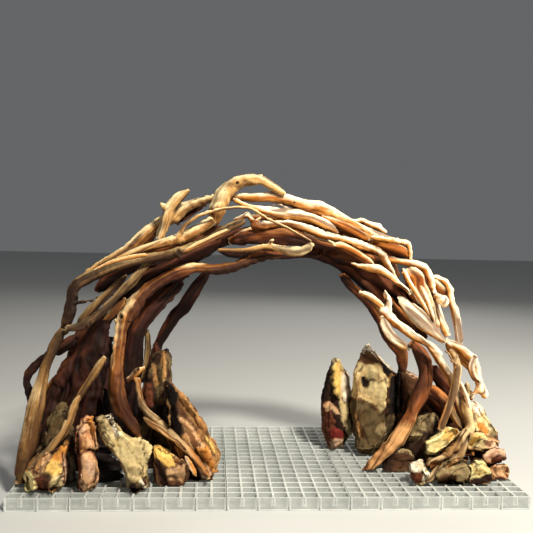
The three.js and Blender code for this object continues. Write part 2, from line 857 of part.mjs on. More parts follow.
// Nearest place on a step of a line to a point, both on the middle plane.
function nearestOnStep(x, z, line, step) {
  const [x0, z0, r0] = line.route[step];
  const [x1, z1, r1] = line.route[step + 1];
  const run = [x1 - x0, z1 - z0];
  const square = run[0] * run[0] + run[1] * run[1];
  const share = Math.min(Math.max(((x - x0) * run[0] + (z - z0) * run[1]) / square, 0), 1);
  const distance = Math.hypot(x - x0 - run[0] * share, z - z0 - run[1] * share);
  return { share, distance, radius: r0 + (r1 - r0) * share };
}

function placesAlong(line) {
  const places = [];
  for (let step = 0; step < line.route.length - 1; step++) {
    const count = Math.ceil((line.lengths[step + 1] - line.lengths[step]) / SMALLEST_STEP);
    for (let i = 0; i <= count; i++) {
      const share = i / count;
      const [x0, z0, r0] = line.route[step];
      const [x1, z1, r1] = line.route[step + 1];
      places.push({
        step,
        share,
        x: x0 + (x1 - x0) * share,
        z: z0 + (z1 - z0) * share,
        radius: r0 + (r1 - r0) * share,
      });
    }
  }
  return places;
}

function depthAt(depths, step, share) {
  return depths[step] + (depths[step + 1] - depths[step]) * share;
}

// Every place where one limb is seen over another, with who is in front and how far apart they must be.
function crossings(lines) {
  const found = [];
  lines.forEach((one, a) => {
    placesAlong(one).forEach((place) => {
      lines.forEach((other, b) => {
        if (a === b || one.follows === other.name || other.follows === one.name) return;
        for (let step = 0; step < other.route.length - 1; step++) {
          const near = nearestOnStep(place.x, place.z, other, step);
          const width = (place.radius + near.radius) * (1 + SURFACE_WAVE) + CONTACT_GAP;
          if (near.distance >= width) continue;
          const thick = (place.radius * one.flat + near.radius * other.flat) * (1 + SURFACE_WAVE) + CONTACT_GAP;
          const need = thick * Math.sqrt(1 - (near.distance / width) ** 2);
          const ahead = depthAt(one.home, place.step, place.share) - depthAt(other.home, step, near.share);
          found.push({ one, other, place, step, share: near.share, need, side: ahead < 0 ? -1 : 1 });
        }
      });
    });
  });
  return found;
}

function slope(line, step) {
  const run = line.lengths[step + 1] - line.lengths[step];
  const rise = line.depths[step + 1] - line.depths[step];
  return Math.min(Math.hypot(run, rise) / run, 1.3);
}

// Moves limbs towards or away from the viewer until those that cross touch.
function settle(lines) {
  const contacts = crossings(lines);
  for (let round = 0; round < SETTLE_ROUNDS; round++) {
    const easing = round < SETTLE_ROUNDS * 0.7;
    lines.forEach((line) => {
      line.shift = line.depths.map(() => 0);
      line.weight = line.depths.map(() => 0);
      line.draw = line.depths.map(() => 0);
      line.drawn = line.depths.map(() => 0);
    });
    contacts.forEach((contact) => {
      const { one, other, place, step, share, need, side } = contact;
      const steep = Math.max(slope(one, place.step), slope(other, step));
      const apart = side * (depthAt(one.depths, place.step, place.share) - depthAt(other.depths, step, share));
      const short = need * steep - apart;
      if (short > 0) {
        spread(one, place.step, place.share, side * short * 0.5, "shift", "weight");
        spread(other, step, share, -side * short * 0.5, "shift", "weight");
      } else if (easing && -short < GATHER_REACH) {
        spread(one, place.step, place.share, side * short, "draw", "drawn");
        spread(other, step, share, -side * short, "draw", "drawn");
      }
    });
    lines.forEach((line) => {
      for (let i = 0; i < line.pinnedFrom; i++) {
        line.depths[i] += line.shift[i] / Math.max(line.weight[i], 0.5);
        line.depths[i] += (GATHER * line.draw[i]) / Math.max(line.drawn[i], 0.5);
      }
      if (!easing) return;
      const moved = line.depths.map((depth, i) => depth - line.home[i]);
      for (let i = 0; i < line.pinnedFrom; i++) {
        const before = moved[Math.max(i - 1, 0)];
        const after = moved[Math.min(i + 1, moved.length - 1)];
        line.depths[i] += SMOOTHING * (before + after - 2 * moved[i]) - HOMING * moved[i];
      }
    });
  }
}

// Shares a move between the two ends of a step.
function spread(line, step, share, amount, sum, weight) {
  line[sum][step] += amount * (1 - share);
  line[sum][step + 1] += amount * share;
  line[weight][step] += 1 - share;
  line[weight][step + 1] += share;
}

// Ring of points round each place of a line, joined into a closed tube with flat ends.
function tubeGeometry(line, sides, extra) {
  const centres = line.route.map(([x, z], i) => onSightLine(x, z, line.depths[i]));
  const radii = line.route.map(([, , r], i) => r * reachAt(line.depths[i]) + extra);
  const count = centres.length;
  const ways = centres.map((_, i) => {
    const from = centres[Math.max(i - 1, 0)];
    const to = centres[Math.min(i + 1, count - 1)];
    return new THREE.Vector3().subVectors(to, from).normalize();
  });
  if (extra > 0) {
    centres[0] = centres[0].clone().addScaledVector(ways[0], -extra);
    centres[count - 1] = centres[count - 1].clone().addScaledVector(ways[count - 1], extra);
  }
  const sight = new THREE.Vector3(0, 1, 0);
  const positions = [];
  centres.forEach((centre, i) => {
    const across = new THREE.Vector3().crossVectors(sight, ways[i]).normalize();
    const inward = new THREE.Vector3().crossVectors(ways[i], across).normalize();
    for (let side = 0; side < sides; side++) {
      const angle = (2 * Math.PI * side) / sides;
      const wave = extra > 0 ? 1 + SURFACE_WAVE : 1 + SURFACE_WAVE * Math.sin(3 * angle + 1.7 * i + radii[i]);
      const wide = Math.cos(angle) * radii[i] * wave;
      const deep = Math.sin(angle) * (extra + (radii[i] - extra) * line.flat) * wave;
      const point = centre.clone().addScaledVector(across, wide).addScaledVector(inward, deep);
      positions.push(point.x, point.y, point.z);
    }
  });
  const indices = [];
  for (let i = 0; i < count - 1; i++) {
    for (let side = 0; side < sides; side++) {
      const a = i * sides + side;
      const b = i * sides + ((side + 1) % sides);
      indices.push(a, b, b + sides, a, b + sides, a + sides);
    }
  }
  for (let side = 1; side < sides - 1; side++) {
    indices.push(0, side + 1, side);
    const last = (count - 1) * sides;
    indices.push(last, last + side, last + side + 1);
  }
  const geometry = new THREE.BufferGeometry();
  geometry.setAttribute("position", new THREE.BufferAttribute(new Float32Array(positions), 3));
  geometry.setIndex(indices);
  return geometry;
}

function sidesFor(line) {
  const widest = Math.max(...line.route.map(([, , r]) => r));
  if (widest > 7.4) return 7;
  return widest > 3.4 ? 6 : 5;
}

function limbSolid(lines, extra) {
  const tubes = lines.map((line) => solidFrom(tubeGeometry(line, sidesFor(line), extra)));
  return tubes.reduce((whole, tube) => whole.add(tube));
}

// Branches follow their limb when it settles.
function carryBranches(lines) {
  const [stem, ...branches] = lines;
  branches.forEach((branch) => {
    const [x, z] = branch.route[0];
    let best = { distance: Infinity };
    for (let step = 0; step < stem.route.length - 1; step++) {
      const near = nearestOnStep(x, z, stem, step);
      if (near.distance < best.distance) best = { ...near, step };
    }
    const shift = depthAt(stem.depths, best.step, best.share) - depthAt(stem.home, best.step, best.share);
    branch.depths = branch.home.map((depth) => depth + shift);
  });
}

// Rocks

function unevenness(seed, index) {
  const value = Math.sin(seed * 12.9898 + index * 78.233) * 43758.5453;
  return value - Math.floor(value);
}

function rockGeometry(rock, seed) {
  const count = rock.outline.length;
  const middle = rock.outline.reduce((sum, [x, z]) => [sum[0] + x / count, sum[1] + z / count], [0, 0]);
  const half = rock.thick / 2;
  const rings = [
    { size: 0.7, y: (i) => rock.depth - half * (0.75 + 0.35 * unevenness(seed, i)) },
    { size: 1, y: (i) => rock.depth + half * 0.5 * (unevenness(seed + 3, i) - 0.5) },
    { size: 0.78, y: (i) => rock.depth + half * (0.7 + 0.3 * unevenness(seed + 7, i)) },
  ];
  const positions = [];
  rings.forEach((ring) => {
    rock.outline.forEach(([x, z], i) => {
      const across = middle[0] + (x - middle[0]) * ring.size;
      const height = middle[1] + (z - middle[1]) * ring.size;
      const point = onSightLine(across, height, ring.y(i));
      positions.push(point.x, point.y, point.z);
    });
  });
  [rock.depth - half * 1.1, rock.depth + half].forEach((y) => {
    const point = onSightLine(middle[0], middle[1], y);
    positions.push(point.x, point.y, point.z);
  });
  const turn = outlineTurn(rock.outline);
  const indices = [];
  const add = (a, b, c) => (turn > 0 ? indices.push(a, b, c) : indices.push(a, c, b));
  for (let i = 0; i < count; i++) {
    const next = (i + 1) % count;
    add(3 * count, i, next);
    add(3 * count + 1, 2 * count + next, 2 * count + i);
    for (let ring = 0; ring < 2; ring++) {
      const a = ring * count + i;
      const b = ring * count + next;
      add(a, a + count, b + count);
      add(a, b + count, b);
    }
  }
  const geometry = new THREE.BufferGeometry();
  geometry.setAttribute("position", new THREE.BufferAttribute(new Float32Array(positions), 3));
  geometry.setIndex(indices);
  return geometry;
}

// Which way round an outline runs: above zero is anticlockwise as seen from the front.
function outlineTurn(outline) {
  return outline.reduce((sum, [x0, z0], i) => {
    const [x1, z1] = outline[(i + 1) % outline.length];
    return sum + x0 * z1 - x1 * z0;
  }, 0);
}

// The same rock made larger all round by the contact gap.
function grownRock(geometry) {
  geometry.computeBoundingBox();
  const size = geometry.boundingBox.getSize(new THREE.Vector3());
  const middle = geometry.boundingBox.getCenter(new THREE.Vector3());
  const growth = 4 * CONTACT_GAP;
  const larger = geometry.clone().translate(-middle.x, -middle.y, -middle.z);
  larger.scale(1 + growth / size.x, 1 + growth / size.y, 1 + growth / size.z);
  return solidFrom(larger.translate(middle.x, middle.y, middle.z));
}

// A solid grown by the contact gap, as six copies moved a little each way.
function swollen(solid) {
  const moves = [[1, 0, 0], [-1, 0, 0], [0, 1, 0], [0, -1, 0], [0, 0, 1], [0, 0, -1]];
  const copies = moves.map((move) => {
    const [x, y, z] = move.map((part) => part * CONTACT_GAP);
    return solidFrom(geometryFrom(solid).translate(x, y, z));
  });
  return copies.reduce((whole, copy) => whole.add(copy));
}

function boxesMeet(one, other) {
  const a = one.boundingBox();
  const b = other.boundingBox();
  return [0, 1, 2].every((axis) => a.min[axis] < b.max[axis] && b.min[axis] < a.max[axis]);
}

function meets(one, other) {
  return boxesMeet(one, other) && one.intersect(other).volume() > 1e-4;
}

function addMesh(group, name, solid, colour, roughness, transparency = 0) {
  const material = new THREE.MeshStandardMaterial({ color: colour, roughness, metalness: 0 });
  material.transparent = transparency > 0;
  material.opacity = 1 - transparency;
  const mesh = new THREE.Mesh(geometryFrom(solid), material);
  mesh.name = name;
  group.add(mesh);
}

const centrepiece = new THREE.Group();
centrepiece.name = "driftwood_centerpiece";

let firstRib = 0;
PANEL_CELLS.forEach((cells, index) => {
  addMesh(centrepiece, `plate_panel_${index + 1}`, platePanel(firstRib, cells), 0xdfe3e2, 0.35, 0.4);
  firstRib += cells;
});

const traced = LIMBS.map((limb) => {
  const flat = limb.flat || 1;
  const lines = [trace(limb, flat), ...(limb.branches || []).map((branch) => trace(branch, branch.flat || 1))];
  return { limb, lines };
});
settle(traced.map(({ lines }) => lines[0]));
traced.forEach(({ lines }) => carryBranches(lines));

const limbs = [];
traced.forEach(({ limb, lines }) => {
  let solid = limbSolid(lines, 0).intersect(allowed);
  limbs.forEach((earlier) => {
    if (meets(solid, earlier.solid)) solid = solid.subtract(earlier.cutter);
  });
  solid = mainBody(solid);
  limbs.push({ solid, cutter: limbSolid(lines, CONTACT_GAP) });
  addMesh(centrepiece, limb.name, solid, ...WOODS[limb.wood]);
});

const rocks = [];
ROCKS.forEach((rock, index) => {
  const geometry = rockGeometry(rock, index + 1);
  let solid = solidFrom(geometry).intersect(allowed);
  [...limbs, ...rocks].forEach((earlier) => {
    if (boxesMeet(solid, earlier.cutter)) solid = solid.subtract(earlier.cutter);
    if (meets(solid, earlier.solid)) solid = solid.subtract(swollen(earlier.solid));
  });
  solid = mainBody(solid);
  rocks.push({ solid, cutter: grownRock(geometry) });
  addMesh(centrepiece, rock.name, solid, ...STONES[rock.stone]);
});

export default centrepiece;
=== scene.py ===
import json
import math

import bmesh
import bpy
import numpy as np
from mathutils import Matrix, Vector


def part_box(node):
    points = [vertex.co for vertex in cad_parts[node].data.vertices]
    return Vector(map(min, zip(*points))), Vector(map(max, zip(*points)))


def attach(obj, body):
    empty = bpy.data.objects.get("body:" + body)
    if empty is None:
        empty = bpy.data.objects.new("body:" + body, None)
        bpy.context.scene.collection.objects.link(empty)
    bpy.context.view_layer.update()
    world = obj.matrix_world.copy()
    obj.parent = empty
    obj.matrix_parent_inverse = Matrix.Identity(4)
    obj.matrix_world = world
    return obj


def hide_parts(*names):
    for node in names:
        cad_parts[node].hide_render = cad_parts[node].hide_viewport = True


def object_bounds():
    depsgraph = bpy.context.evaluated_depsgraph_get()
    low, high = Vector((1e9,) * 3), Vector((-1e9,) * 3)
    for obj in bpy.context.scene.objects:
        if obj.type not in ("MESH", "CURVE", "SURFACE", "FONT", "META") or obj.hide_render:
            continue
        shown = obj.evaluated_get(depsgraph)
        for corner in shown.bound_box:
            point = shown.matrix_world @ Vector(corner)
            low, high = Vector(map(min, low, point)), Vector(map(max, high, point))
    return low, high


# Driftwood arch of bare limbs between two rock piles, on a plate of milky grid panels.
# Metres, +Z up, front towards -Y.

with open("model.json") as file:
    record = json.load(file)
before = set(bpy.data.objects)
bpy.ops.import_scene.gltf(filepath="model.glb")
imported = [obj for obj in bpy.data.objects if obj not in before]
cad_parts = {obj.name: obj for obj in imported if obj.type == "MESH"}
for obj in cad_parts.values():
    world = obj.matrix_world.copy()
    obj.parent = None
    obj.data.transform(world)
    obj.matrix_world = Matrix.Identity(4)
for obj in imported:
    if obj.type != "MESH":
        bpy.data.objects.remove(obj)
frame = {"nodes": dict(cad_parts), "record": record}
CAD_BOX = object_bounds()
SLOTS = {part["node"]: part["material_slot"] for part in frame["record"]["subparts"]}

MM = 0.001
TINY = 1e-6

# Viewpoint of the photograph
EYE = np.array([-62.6, -855.3, 265.0]) * MM
YAW, PITCH, ROLL = math.radians(4.056), math.radians(2.329), math.radians(1.198)
LENS_MM = 51.32
SENSOR_MM = 36
NEAREST_SEEN = 0.05

# Plate: ribs on both axes, every second one deep and the minor ones stopping short of the foot
PLATE_EDGE = (255 * MM, 135 * MM)
PLATE_TOP = 13 * MM
RIB_PITCH = 15 * MM
RIB_COUNT_X, RIB_COUNT_Y = 35, 19
RIB_WIDTH = 2.1 * MM
RIB_BEVEL = 0.3 * MM
MINOR_RIB_FOOT = 5.2 * MM
WINDOW_FRAME = 0.9 * MM
WINDOW_DEPTH = 0.6 * MM
LEAST_GAP = 0.3 * MM
LEAST_WALL = 3 * MM * MM
EDGE_SLACK = 0.4 * MM
SQUARE_ON, SIDEWAYS = 0.9, 0.1
SHARP_ANGLE = 0.5

# Size of the surface's net on plain, fine and coarse limbs, and on stones
WOOD_VOXEL = 1.2 * MM
FINE_VOXEL = 0.95 * MM
COARSE_VOXEL = 1.5 * MM
ROCK_VOXEL = 1.35 * MM
FINE_LIMBS = {"antler_limb", "crown_loop", "hook_limb", "right_thin_leg"}
COARSE_LIMBS = {"broad_trunk"}

# How often the facets of a solid limb, a thick tube, a thin tube and a stone are softened.
# Each softening draws a point towards its neighbours by the first share and away again by the second.
SOLID_SOFTNESS, THICK_SOFTNESS, THIN_SOFTNESS, ROCK_SOFTNESS = 40, 3, 6, 3
DRAWN_IN, DRAWN_OUT = 0.6, 0.61

# A tube is thick when its widest radius is above this, in millimetres
THICK_TUBE = 6

# Rings of a limb: width in edges of the net, fewest points, rounds that even out the middle line, and a
# direction from which the sides are measured
HOPS_PER_RING = 3
SMALLEST_RING = 6
MIDDLE_LINE_ROUNDS = 6
ANY_SIDE = (0.3, 1, 0.2)

# Turn of the fibres in radians per metre of an ordinary limb, and the girth of one, which is its mean radius
TWIST = 9.0
USUAL_GIRTH = 5 * MM

# How far the ends of a limb are worn down, as a share of its girth
SOLID_TAPER, FILL_TAPER = 0.45, 0.7
TAPER = {
    "grey_crossing_limb": 0.1,
    "ball_end": 0.0,
    "front_white_limb": 0.75,
    "bright_patch_limb": 0.75,
    "torn_slab_limb": 0.7,
    "fan_limb": 0.7,
    "second_ridge_limb": 0.7,
    "mid_ridge_limb": 0.7,
}

# Scooped faces: how many a piece has, how many are worked out at once, and how far their edges wander
FEWEST_FACES, MOST_FACES = 8, 900
FACE_BATCH = 64
EDGE_WAVES, EDGE_WANDER = 0.7, 0.35

# Worn faces of a limb, as shares of its girth, and how far each is tilted
WORN_FACES = {"across": 0.95, "along": 5, "scoop": 0.17, "most": 0.2}
WORN_TILT = 0.12

# Grain of the wood: repeats per metre across and along the limb, and the number of its noise
FLUTES = (105, 8, 3)
FURROWS = (210, 13, 4)
THREADS = (400, 22, 5)
WRINKLES = (60, 300, 6)
STRANDS = (95, 6, 14)
FRAYS = (160, 40, 15)

# Torn ends: repeats per metre on the two axes across the limb and the one along it
TEARS = (420, 420, 20)

# Paleness, partly weathering and mostly painted light: more on the side of the key light, and on faces that
# point away from the middle of the arch
KEY_SIDE_LIGHT = 0.2
ARCH_MIDDLE = (0, 0, 0.07)

# Stone: patterns as repeats per metre along its short, middle and long axis
LAYERS = (230, 75, 17)
STEPS = (120, 60, 12)
CRACKS = (60, 45, 14)
BARK_RIDGES = (150, 95, 11)
RAGS = (70, 75, 38)
BROAD_CHIPS = {"across": 11 * MM, "along": 18 * MM, "scoop": 2.6 * MM, "most": 2.4 * MM, "tilt": 0.2}
SMALL_CHIPS = {"across": 4.8 * MM, "along": 8 * MM, "scoop": 1.1 * MM, "most": 0.8 * MM, "tilt": 0.2}
FLARE = 0.24
NOTCH_DEPTH = 3.4 * MM
CRACK_DEPTH = 1.1 * MM
FLATNESS = 0.8
SUNK = 1.2 * MM
FARTHEST_MOVE = 8 * MM
BARK_LIKE = {
    "left_tall_slab", "left_streaked_slab", "left_olive_slab", "right_back_rock", "right_small_tall_rock",
}

# Each piece draws its own noise, by its place in the lists
SEED_STEP = 31
SOLID_SEED = 5
FILL_SEED = 5000


def colour(code):
    """A linear colour from its hexadecimal code."""
    parts = [int(code[k : k + 2], 16) / 255 for k in (0, 2, 4)]
    return (*[p / 12.92 if p < 0.04045 else ((p + 0.055) / 1.055) ** 2.4 for p in parts], 1.0)


# The dark and black tones also paint shade into the rocks' hollows
TONE_CODES = {
    "white": "f6ead2", "cream": "dcc690", "lemon": "f9eaa6", "yellow": "efc66e", "khaki": "a8946a",
    "peach": "dfb284", "pink": "dcb492", "orange": "d48f42", "tan": "b58753", "rust": "74402a",
    "brown": "573a24", "olive": "665538", "slate": "5c5546", "dark": "2e1b12", "shade_black": "140b08",
    "red": "7e2a24",
}
TONES = {name: colour(code)[:3] for name, code in TONE_CODES.items()}

# The darker and the paler tone of a rock's unseen sides
BACKS = {
    "cream": ("brown", "khaki"),
    "ochre": ("brown", "tan"),
    "yellow": ("brown", "tan"),
    "peach": ("rust", "tan"),
    "umber": ("dark", "olive"),
}


# Noise

CELL_PRIMES = (73856093, 19349663, 83492791)
SEED_PRIME, SEED_SHIFT = 2654435761, 97
BIT_MIXERS = ((13, 0x5BD1E995), (15, 0x2C1B3C6D))
LAST_SHIFT = 12
TEN_BITS = 1023
NOISE_GAIN = 1.5
OCTAVE_STEP, OCTAVE_SHIFT = 2.03, 7.3


def hashed(cell, seed):
    """A 32-bit hash of each lattice cell."""
    h = np.uint32((seed * SEED_PRIME + SEED_SHIFT) % 2**32)
    for k, prime in enumerate(CELL_PRIMES):
        h = h ^ (cell[:, k].astype(np.uint32) * np.uint32(prime))
    for shift, mixer in BIT_MIXERS:
        h ^= h >> np.uint32(shift)
        h *= np.uint32(mixer)
    return h ^ (h >> np.uint32(LAST_SHIFT))


def ten_bits(h, k):
    """Group k of ten bits of each hash, as a number from 0 to 1023."""
    return (h >> np.uint32(10 * k)) & np.uint32(TEN_BITS)


def noise(points, seed):
    """Smooth lattice noise from about -1 to 1 at each point."""
    cell = np.floor(points).astype(np.int64)
    part = points - cell
    fade = part**3 * (part * (part * 6 - 15) + 10)
    total = np.zeros(len(points))
    for corner in np.ndindex(2, 2, 2):
        h = hashed(cell + corner, seed)
        away = part - corner
        slope = sum(ten_bits(h, k) / (TEN_BITS / 2) * away[:, k] - away[:, k] for k in range(3))
        weight = np.prod(np.where(corner, fade, 1 - fade), axis=1)
        total += slope * weight
    return total * NOISE_GAIN


def layered_noise(points, seed, octaves=4, gain=0.5):
    """Noise with ever finer and weaker noise added."""
    layers = (noise(points * OCTAVE_STEP**k + OCTAVE_SHIFT * k, seed + k) * gain**k for k in range(octaves))
    return sum(layers)


def cell_distance(points, seed):
    """Distance to the nearest of one scattered dot per lattice cell."""
    cell = np.floor(points).astype(np.int64)
    nearest = np.full(len(points), np.inf)
    for step in np.ndindex(3, 3, 3):
        there = cell + np.array(step) - 1
        h = hashed(there, seed)
        dot = there + np.stack([ten_bits(h, k) / TEN_BITS for k in range(3)], 1)
        nearest = np.minimum(nearest, np.linalg.norm(points - dot, axis=1))
    return nearest


def unit(vectors):
    return vectors / np.maximum(np.linalg.norm(vectors, axis=-1, keepdims=True), 1e-9)


def smooth_step(low, high, values):
    share = np.clip((values - low) / (high - low), 0, 1)
    return share * share * (3 - 2 * share)


def bell(values, width):
    """1 at zero, falling away within that width."""
    return np.exp(-((values / width) ** 2))


# Meshes as arrays

def linked(name, data):
    """A new object in the scene."""
    made = bpy.data.objects.new(name, data)
    bpy.context.scene.collection.objects.link(made)
    return made


def node_mesh(node):
    """A copy of a node's mesh with its split corners joined."""
    shape = bmesh.new()
    shape.from_mesh(frame["nodes"][node].data)
    bmesh.ops.remove_doubles(shape, verts=shape.verts, dist=TINY)
    mesh = bpy.data.meshes.new(node)
    shape.to_mesh(mesh)
    shape.free()
    return mesh


def even_mesh(mesh, size):
    """The solid covered by an even net of small faces."""
    holder = linked("holder", mesh)
    net = holder.modifiers.new("net", "REMESH")
    net.mode = "VOXEL"
    net.voxel_size = size
    net.adaptivity = 0
    made = bpy.data.meshes.new_from_object(holder.evaluated_get(bpy.context.evaluated_depsgraph_get()))
    bpy.data.objects.remove(holder)
    bpy.data.meshes.remove(mesh)
    return made


def connected(count, edges):
    """The number of the connected group that each point is in."""
    label = np.arange(count)
    while True:
        before = label.copy()
        low = np.minimum(label[edges[:, 0]], label[edges[:, 1]])
        np.minimum.at(label, edges[:, 0], low)
        np.minimum.at(label, edges[:, 1], low)
        label = label[label]
        if (label == before).all():
            return np.unique(label, return_inverse=True)[1]


def read_edges(mesh):
    pairs = np.empty(len(mesh.edges) * 2, np.int32)
    mesh.edges.foreach_get("vertices", pairs)
    return pairs.reshape(-1, 2).astype(np.int64)


def without_crumbs(mesh):
    """Removes every loose bit but the largest body."""
    group = connected(len(mesh.vertices), read_edges(mesh))
    sizes = np.bincount(group)
    if len(sizes) > 1:
        shape = bmesh.new()
        shape.from_mesh(mesh)
        shape.verts.ensure_lookup_table()
        loose = [shape.verts[i] for i in np.nonzero(group != sizes.argmax())[0]]
        bmesh.ops.delete(shape, geom=loose, context="VERTS")
        shape.to_mesh(mesh)
        shape.free()
    return mesh


class Skin:
    """One piece's surface: its points, its net, and the means to move and label them."""

    def __init__(self, mesh, grid):
        self.mesh = without_crumbs(mesh)
        self.grid = grid
        flat = np.empty(len(mesh.vertices) * 3, np.float32)
        mesh.vertices.foreach_get("co", flat)
        self.points = flat.reshape(-1, 3).astype(float)
        self.edges = read_edges(mesh)
        self.count = len(self.points)
        self.ends = np.concatenate([self.edges[:, 0], self.edges[:, 1]])
        self.others = np.concatenate([self.edges[:, 1], self.edges[:, 0]])
        self.degree = np.maximum(np.bincount(self.ends, minlength=self.count), 1)

    def average(self, values, times=1):
        """Each point's value becomes the mean of its neighbours' values."""
        columns = values.reshape(self.count, -1)
        for _ in range(times):
            sums = [np.bincount(self.ends, column[self.others], self.count) for column in columns.T]
            columns = np.stack(sums, 1) / self.degree[:, None]
        return columns.reshape(values.shape)

    def soften(self, times):
        """Takes the facets out of the surface and keeps its volume."""
        for _ in range(times):
            self.points += DRAWN_IN * (self.average(self.points) - self.points)
            self.points -= DRAWN_OUT * (self.average(self.points) - self.points)

    def write(self):
        self.mesh.vertices.foreach_set("co", self.points.astype(np.float32).ravel())
        self.mesh.update()

    def normals(self):
        self.write()
        flat = np.empty(self.count * 3, np.float32)
        self.mesh.vertex_normals.foreach_get("vector", flat)
        return flat.reshape(-1, 3).astype(float)

    def push(self, heights):
        self.points += self.normals() * heights[:, None]

    def label(self, name, values):
        kind, field = ("FLOAT_VECTOR", "vector") if values.ndim == 2 else ("FLOAT", "value")
        layer = self.mesh.attributes.new(name, kind, "POINT")
        layer.data.foreach_set(field, values.astype(np.float32).ravel())


def finished(skin, name, material, replaced=None):
    """The skin as a shown piece of the object, with its foot flat on the plate."""
    skin.points[:, 2] = np.maximum(skin.points[:, 2], PLATE_TOP)
    skin.write()
    skin.mesh.polygons.foreach_set("use_smooth", np.ones(len(skin.mesh.polygons), bool))
    skin.mesh.materials.clear()
    skin.mesh.materials.append(material)
    piece = linked(name, skin.mesh)
    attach(piece, "root")
    if replaced:
        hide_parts(replaced)
    return piece


def facet(skin, direction, across, along, scoop, most, tilt, seed):
    """Breaks the surface into scooped faces that meet in sharp edges, long ones down the direction given at
    each point. Every face gets a number from 0 to 1."""
    chance = np.random.default_rng(seed)
    area = skin.count * skin.grid**2 / (across * along)
    at = chance.choice(skin.count, int(np.clip(area, FEWEST_FACES, MOST_FACES)), replace=False)
    facing = unit(skin.average(skin.normals(), 3)[at] + tilt * chance.normal(size=(len(at), 3)))
    wander = [noise(skin.points * (EDGE_WAVES / across) + 9.1 * k, seed + k) for k in range(3)]
    points = skin.points + EDGE_WANDER * across * np.stack(wander, 1)
    best = np.full(skin.count, -np.inf)
    number = np.zeros(skin.count, int)
    for first in range(0, len(at), FACE_BATCH):
        some = slice(first, first + FACE_BATCH)
        sites, heading = points[at[some]], direction[at[some]]
        above = skin.points @ facing[some].T - (skin.points[at[some]] * facing[some]).sum(1)
        forward = points @ heading.T - (sites * heading).sum(1)
        square = (points**2).sum(1)[:, None] + (sites**2).sum(1) - 2 * points @ sites.T
        height = above - scoop * ((square - forward**2) / across**2 + forward**2 / along**2)
        chosen = height.argmax(1)
        height = height[np.arange(skin.count), chosen]
        better = height > best
        best[better] = height[better]
        number[better] = chosen[better] + first
    level = skin.average(best, int(1.2 * across / skin.grid) ** 2)
    skin.push(np.clip(level - best, -most, most))
    return chance.uniform(size=len(at))[number]


# Places given as seen in the photograph: x and z on the middle plane, in millimetres

def sight_line(x, z, depth=0.0):
    """The point at that depth on the line from the eye through (x, 0, z), all in millimetres."""
    share = (depth * MM - EYE[1]) / -EYE[1]
    return EYE + (np.array([x * MM, 0, z * MM]) - EYE) * share


def beside_sight(skin, x, z):
    """How far each point lies down the sight line through (x, 0, z), and how far beside it."""
    ray = unit(sight_line(x, z) - EYE)
    away = skin.points - EYE
    depth = away @ ray
    return depth, np.linalg.norm(away - depth[:, None] * ray, axis=1)


def seen_at(skin, x, z):
    """The frontmost point of the skin on the sight line through (x, 0, z)."""
    depth, aside = beside_sight(skin, x, z)
    near = aside < max(aside.min() * 1.5, 1.5 * MM)
    return int(np.nonzero(near)[0][depth[near].argmin()])


def spots(skin, marks):
    """The strength of the marks: place on the middle plane and radius in millimetres, and amount."""
    total = np.zeros(skin.count)
    for x, z, radius, amount in marks:
        total += amount * bell(beside_sight(skin, x, z)[1] / (radius * MM), 1)
    return total


# Where each point of a limb is along it and round it

def hops_from(skin, start):
    """How many edges away from the start each point is."""
    level = np.full(skin.count, -1)
    level[start] = 0
    step = 0
    while True:
        reached = level[skin.ends] == step
        fresh = skin.others[reached]
        fresh = fresh[level[fresh] < 0]
        if not len(fresh):
            return level
        step += 1
        level[fresh] = step


def rings_of(skin):
    """The rings that the limb's surface is cut into, from one end to the others, and how they follow
    each other. A ring too small to count goes to the one before it."""
    level = hops_from(skin, int(hops_from(skin, 0).argmax()))
    band = level // HOPS_PER_RING
    same = band[skin.edges[:, 0]] == band[skin.edges[:, 1]]
    ring = connected(skin.count, skin.edges[same])
    number = ring.max() + 1
    size = np.bincount(ring)
    ring_band = np.zeros(number, int)
    ring_band[ring] = band
    across = skin.edges[~same]
    swap = band[across[:, 0]] > band[across[:, 1]]
    across[swap] = across[swap][:, ::-1]
    pairs, shared = np.unique(ring[across], axis=0, return_counts=True)
    parent = np.full(number, -1)
    for low, high in pairs[np.argsort(shared)]:
        parent[high] = low
    order = np.argsort(ring_band, kind="stable")
    alias = np.arange(number)
    for r in order:
        if size[r] < SMALLEST_RING and parent[r] >= 0:
            alias[r] = alias[parent[r]]
    ring = alias[ring]
    parent = np.where(parent >= 0, alias[parent], -1)
    order = [r for r in order if alias[r] == r]
    size = np.bincount(ring, minlength=number)
    child = np.full(number, -1)
    for r in sorted(order, key=lambda r: size[r]):
        if parent[r] >= 0:
            child[parent[r]] = r
    return ring, parent, child, order, size


def ring_axes(centre, parent, child, order):
    """Which way the limb heads at each ring, a side that doesn't twist, and the distance down the limb."""
    direction = np.zeros_like(centre)
    side = np.zeros_like(centre)
    travelled = np.zeros(len(centre))
    for r in order:
        before, after = parent[r], child[r]
        ahead = centre[after] if after >= 0 else centre[r]
        behind = centre[before] if before >= 0 else centre[r]
        direction[r] = unit(ahead - behind)
        if before < 0:
            side[r] = unit(np.cross(direction[r], ANY_SIDE))
        else:
            side[r] = unit(side[before] - direction[r] * (side[before] @ direction[r]))
            travelled[r] = travelled[before] + np.linalg.norm(centre[r] - centre[before])
    return direction, side, travelled


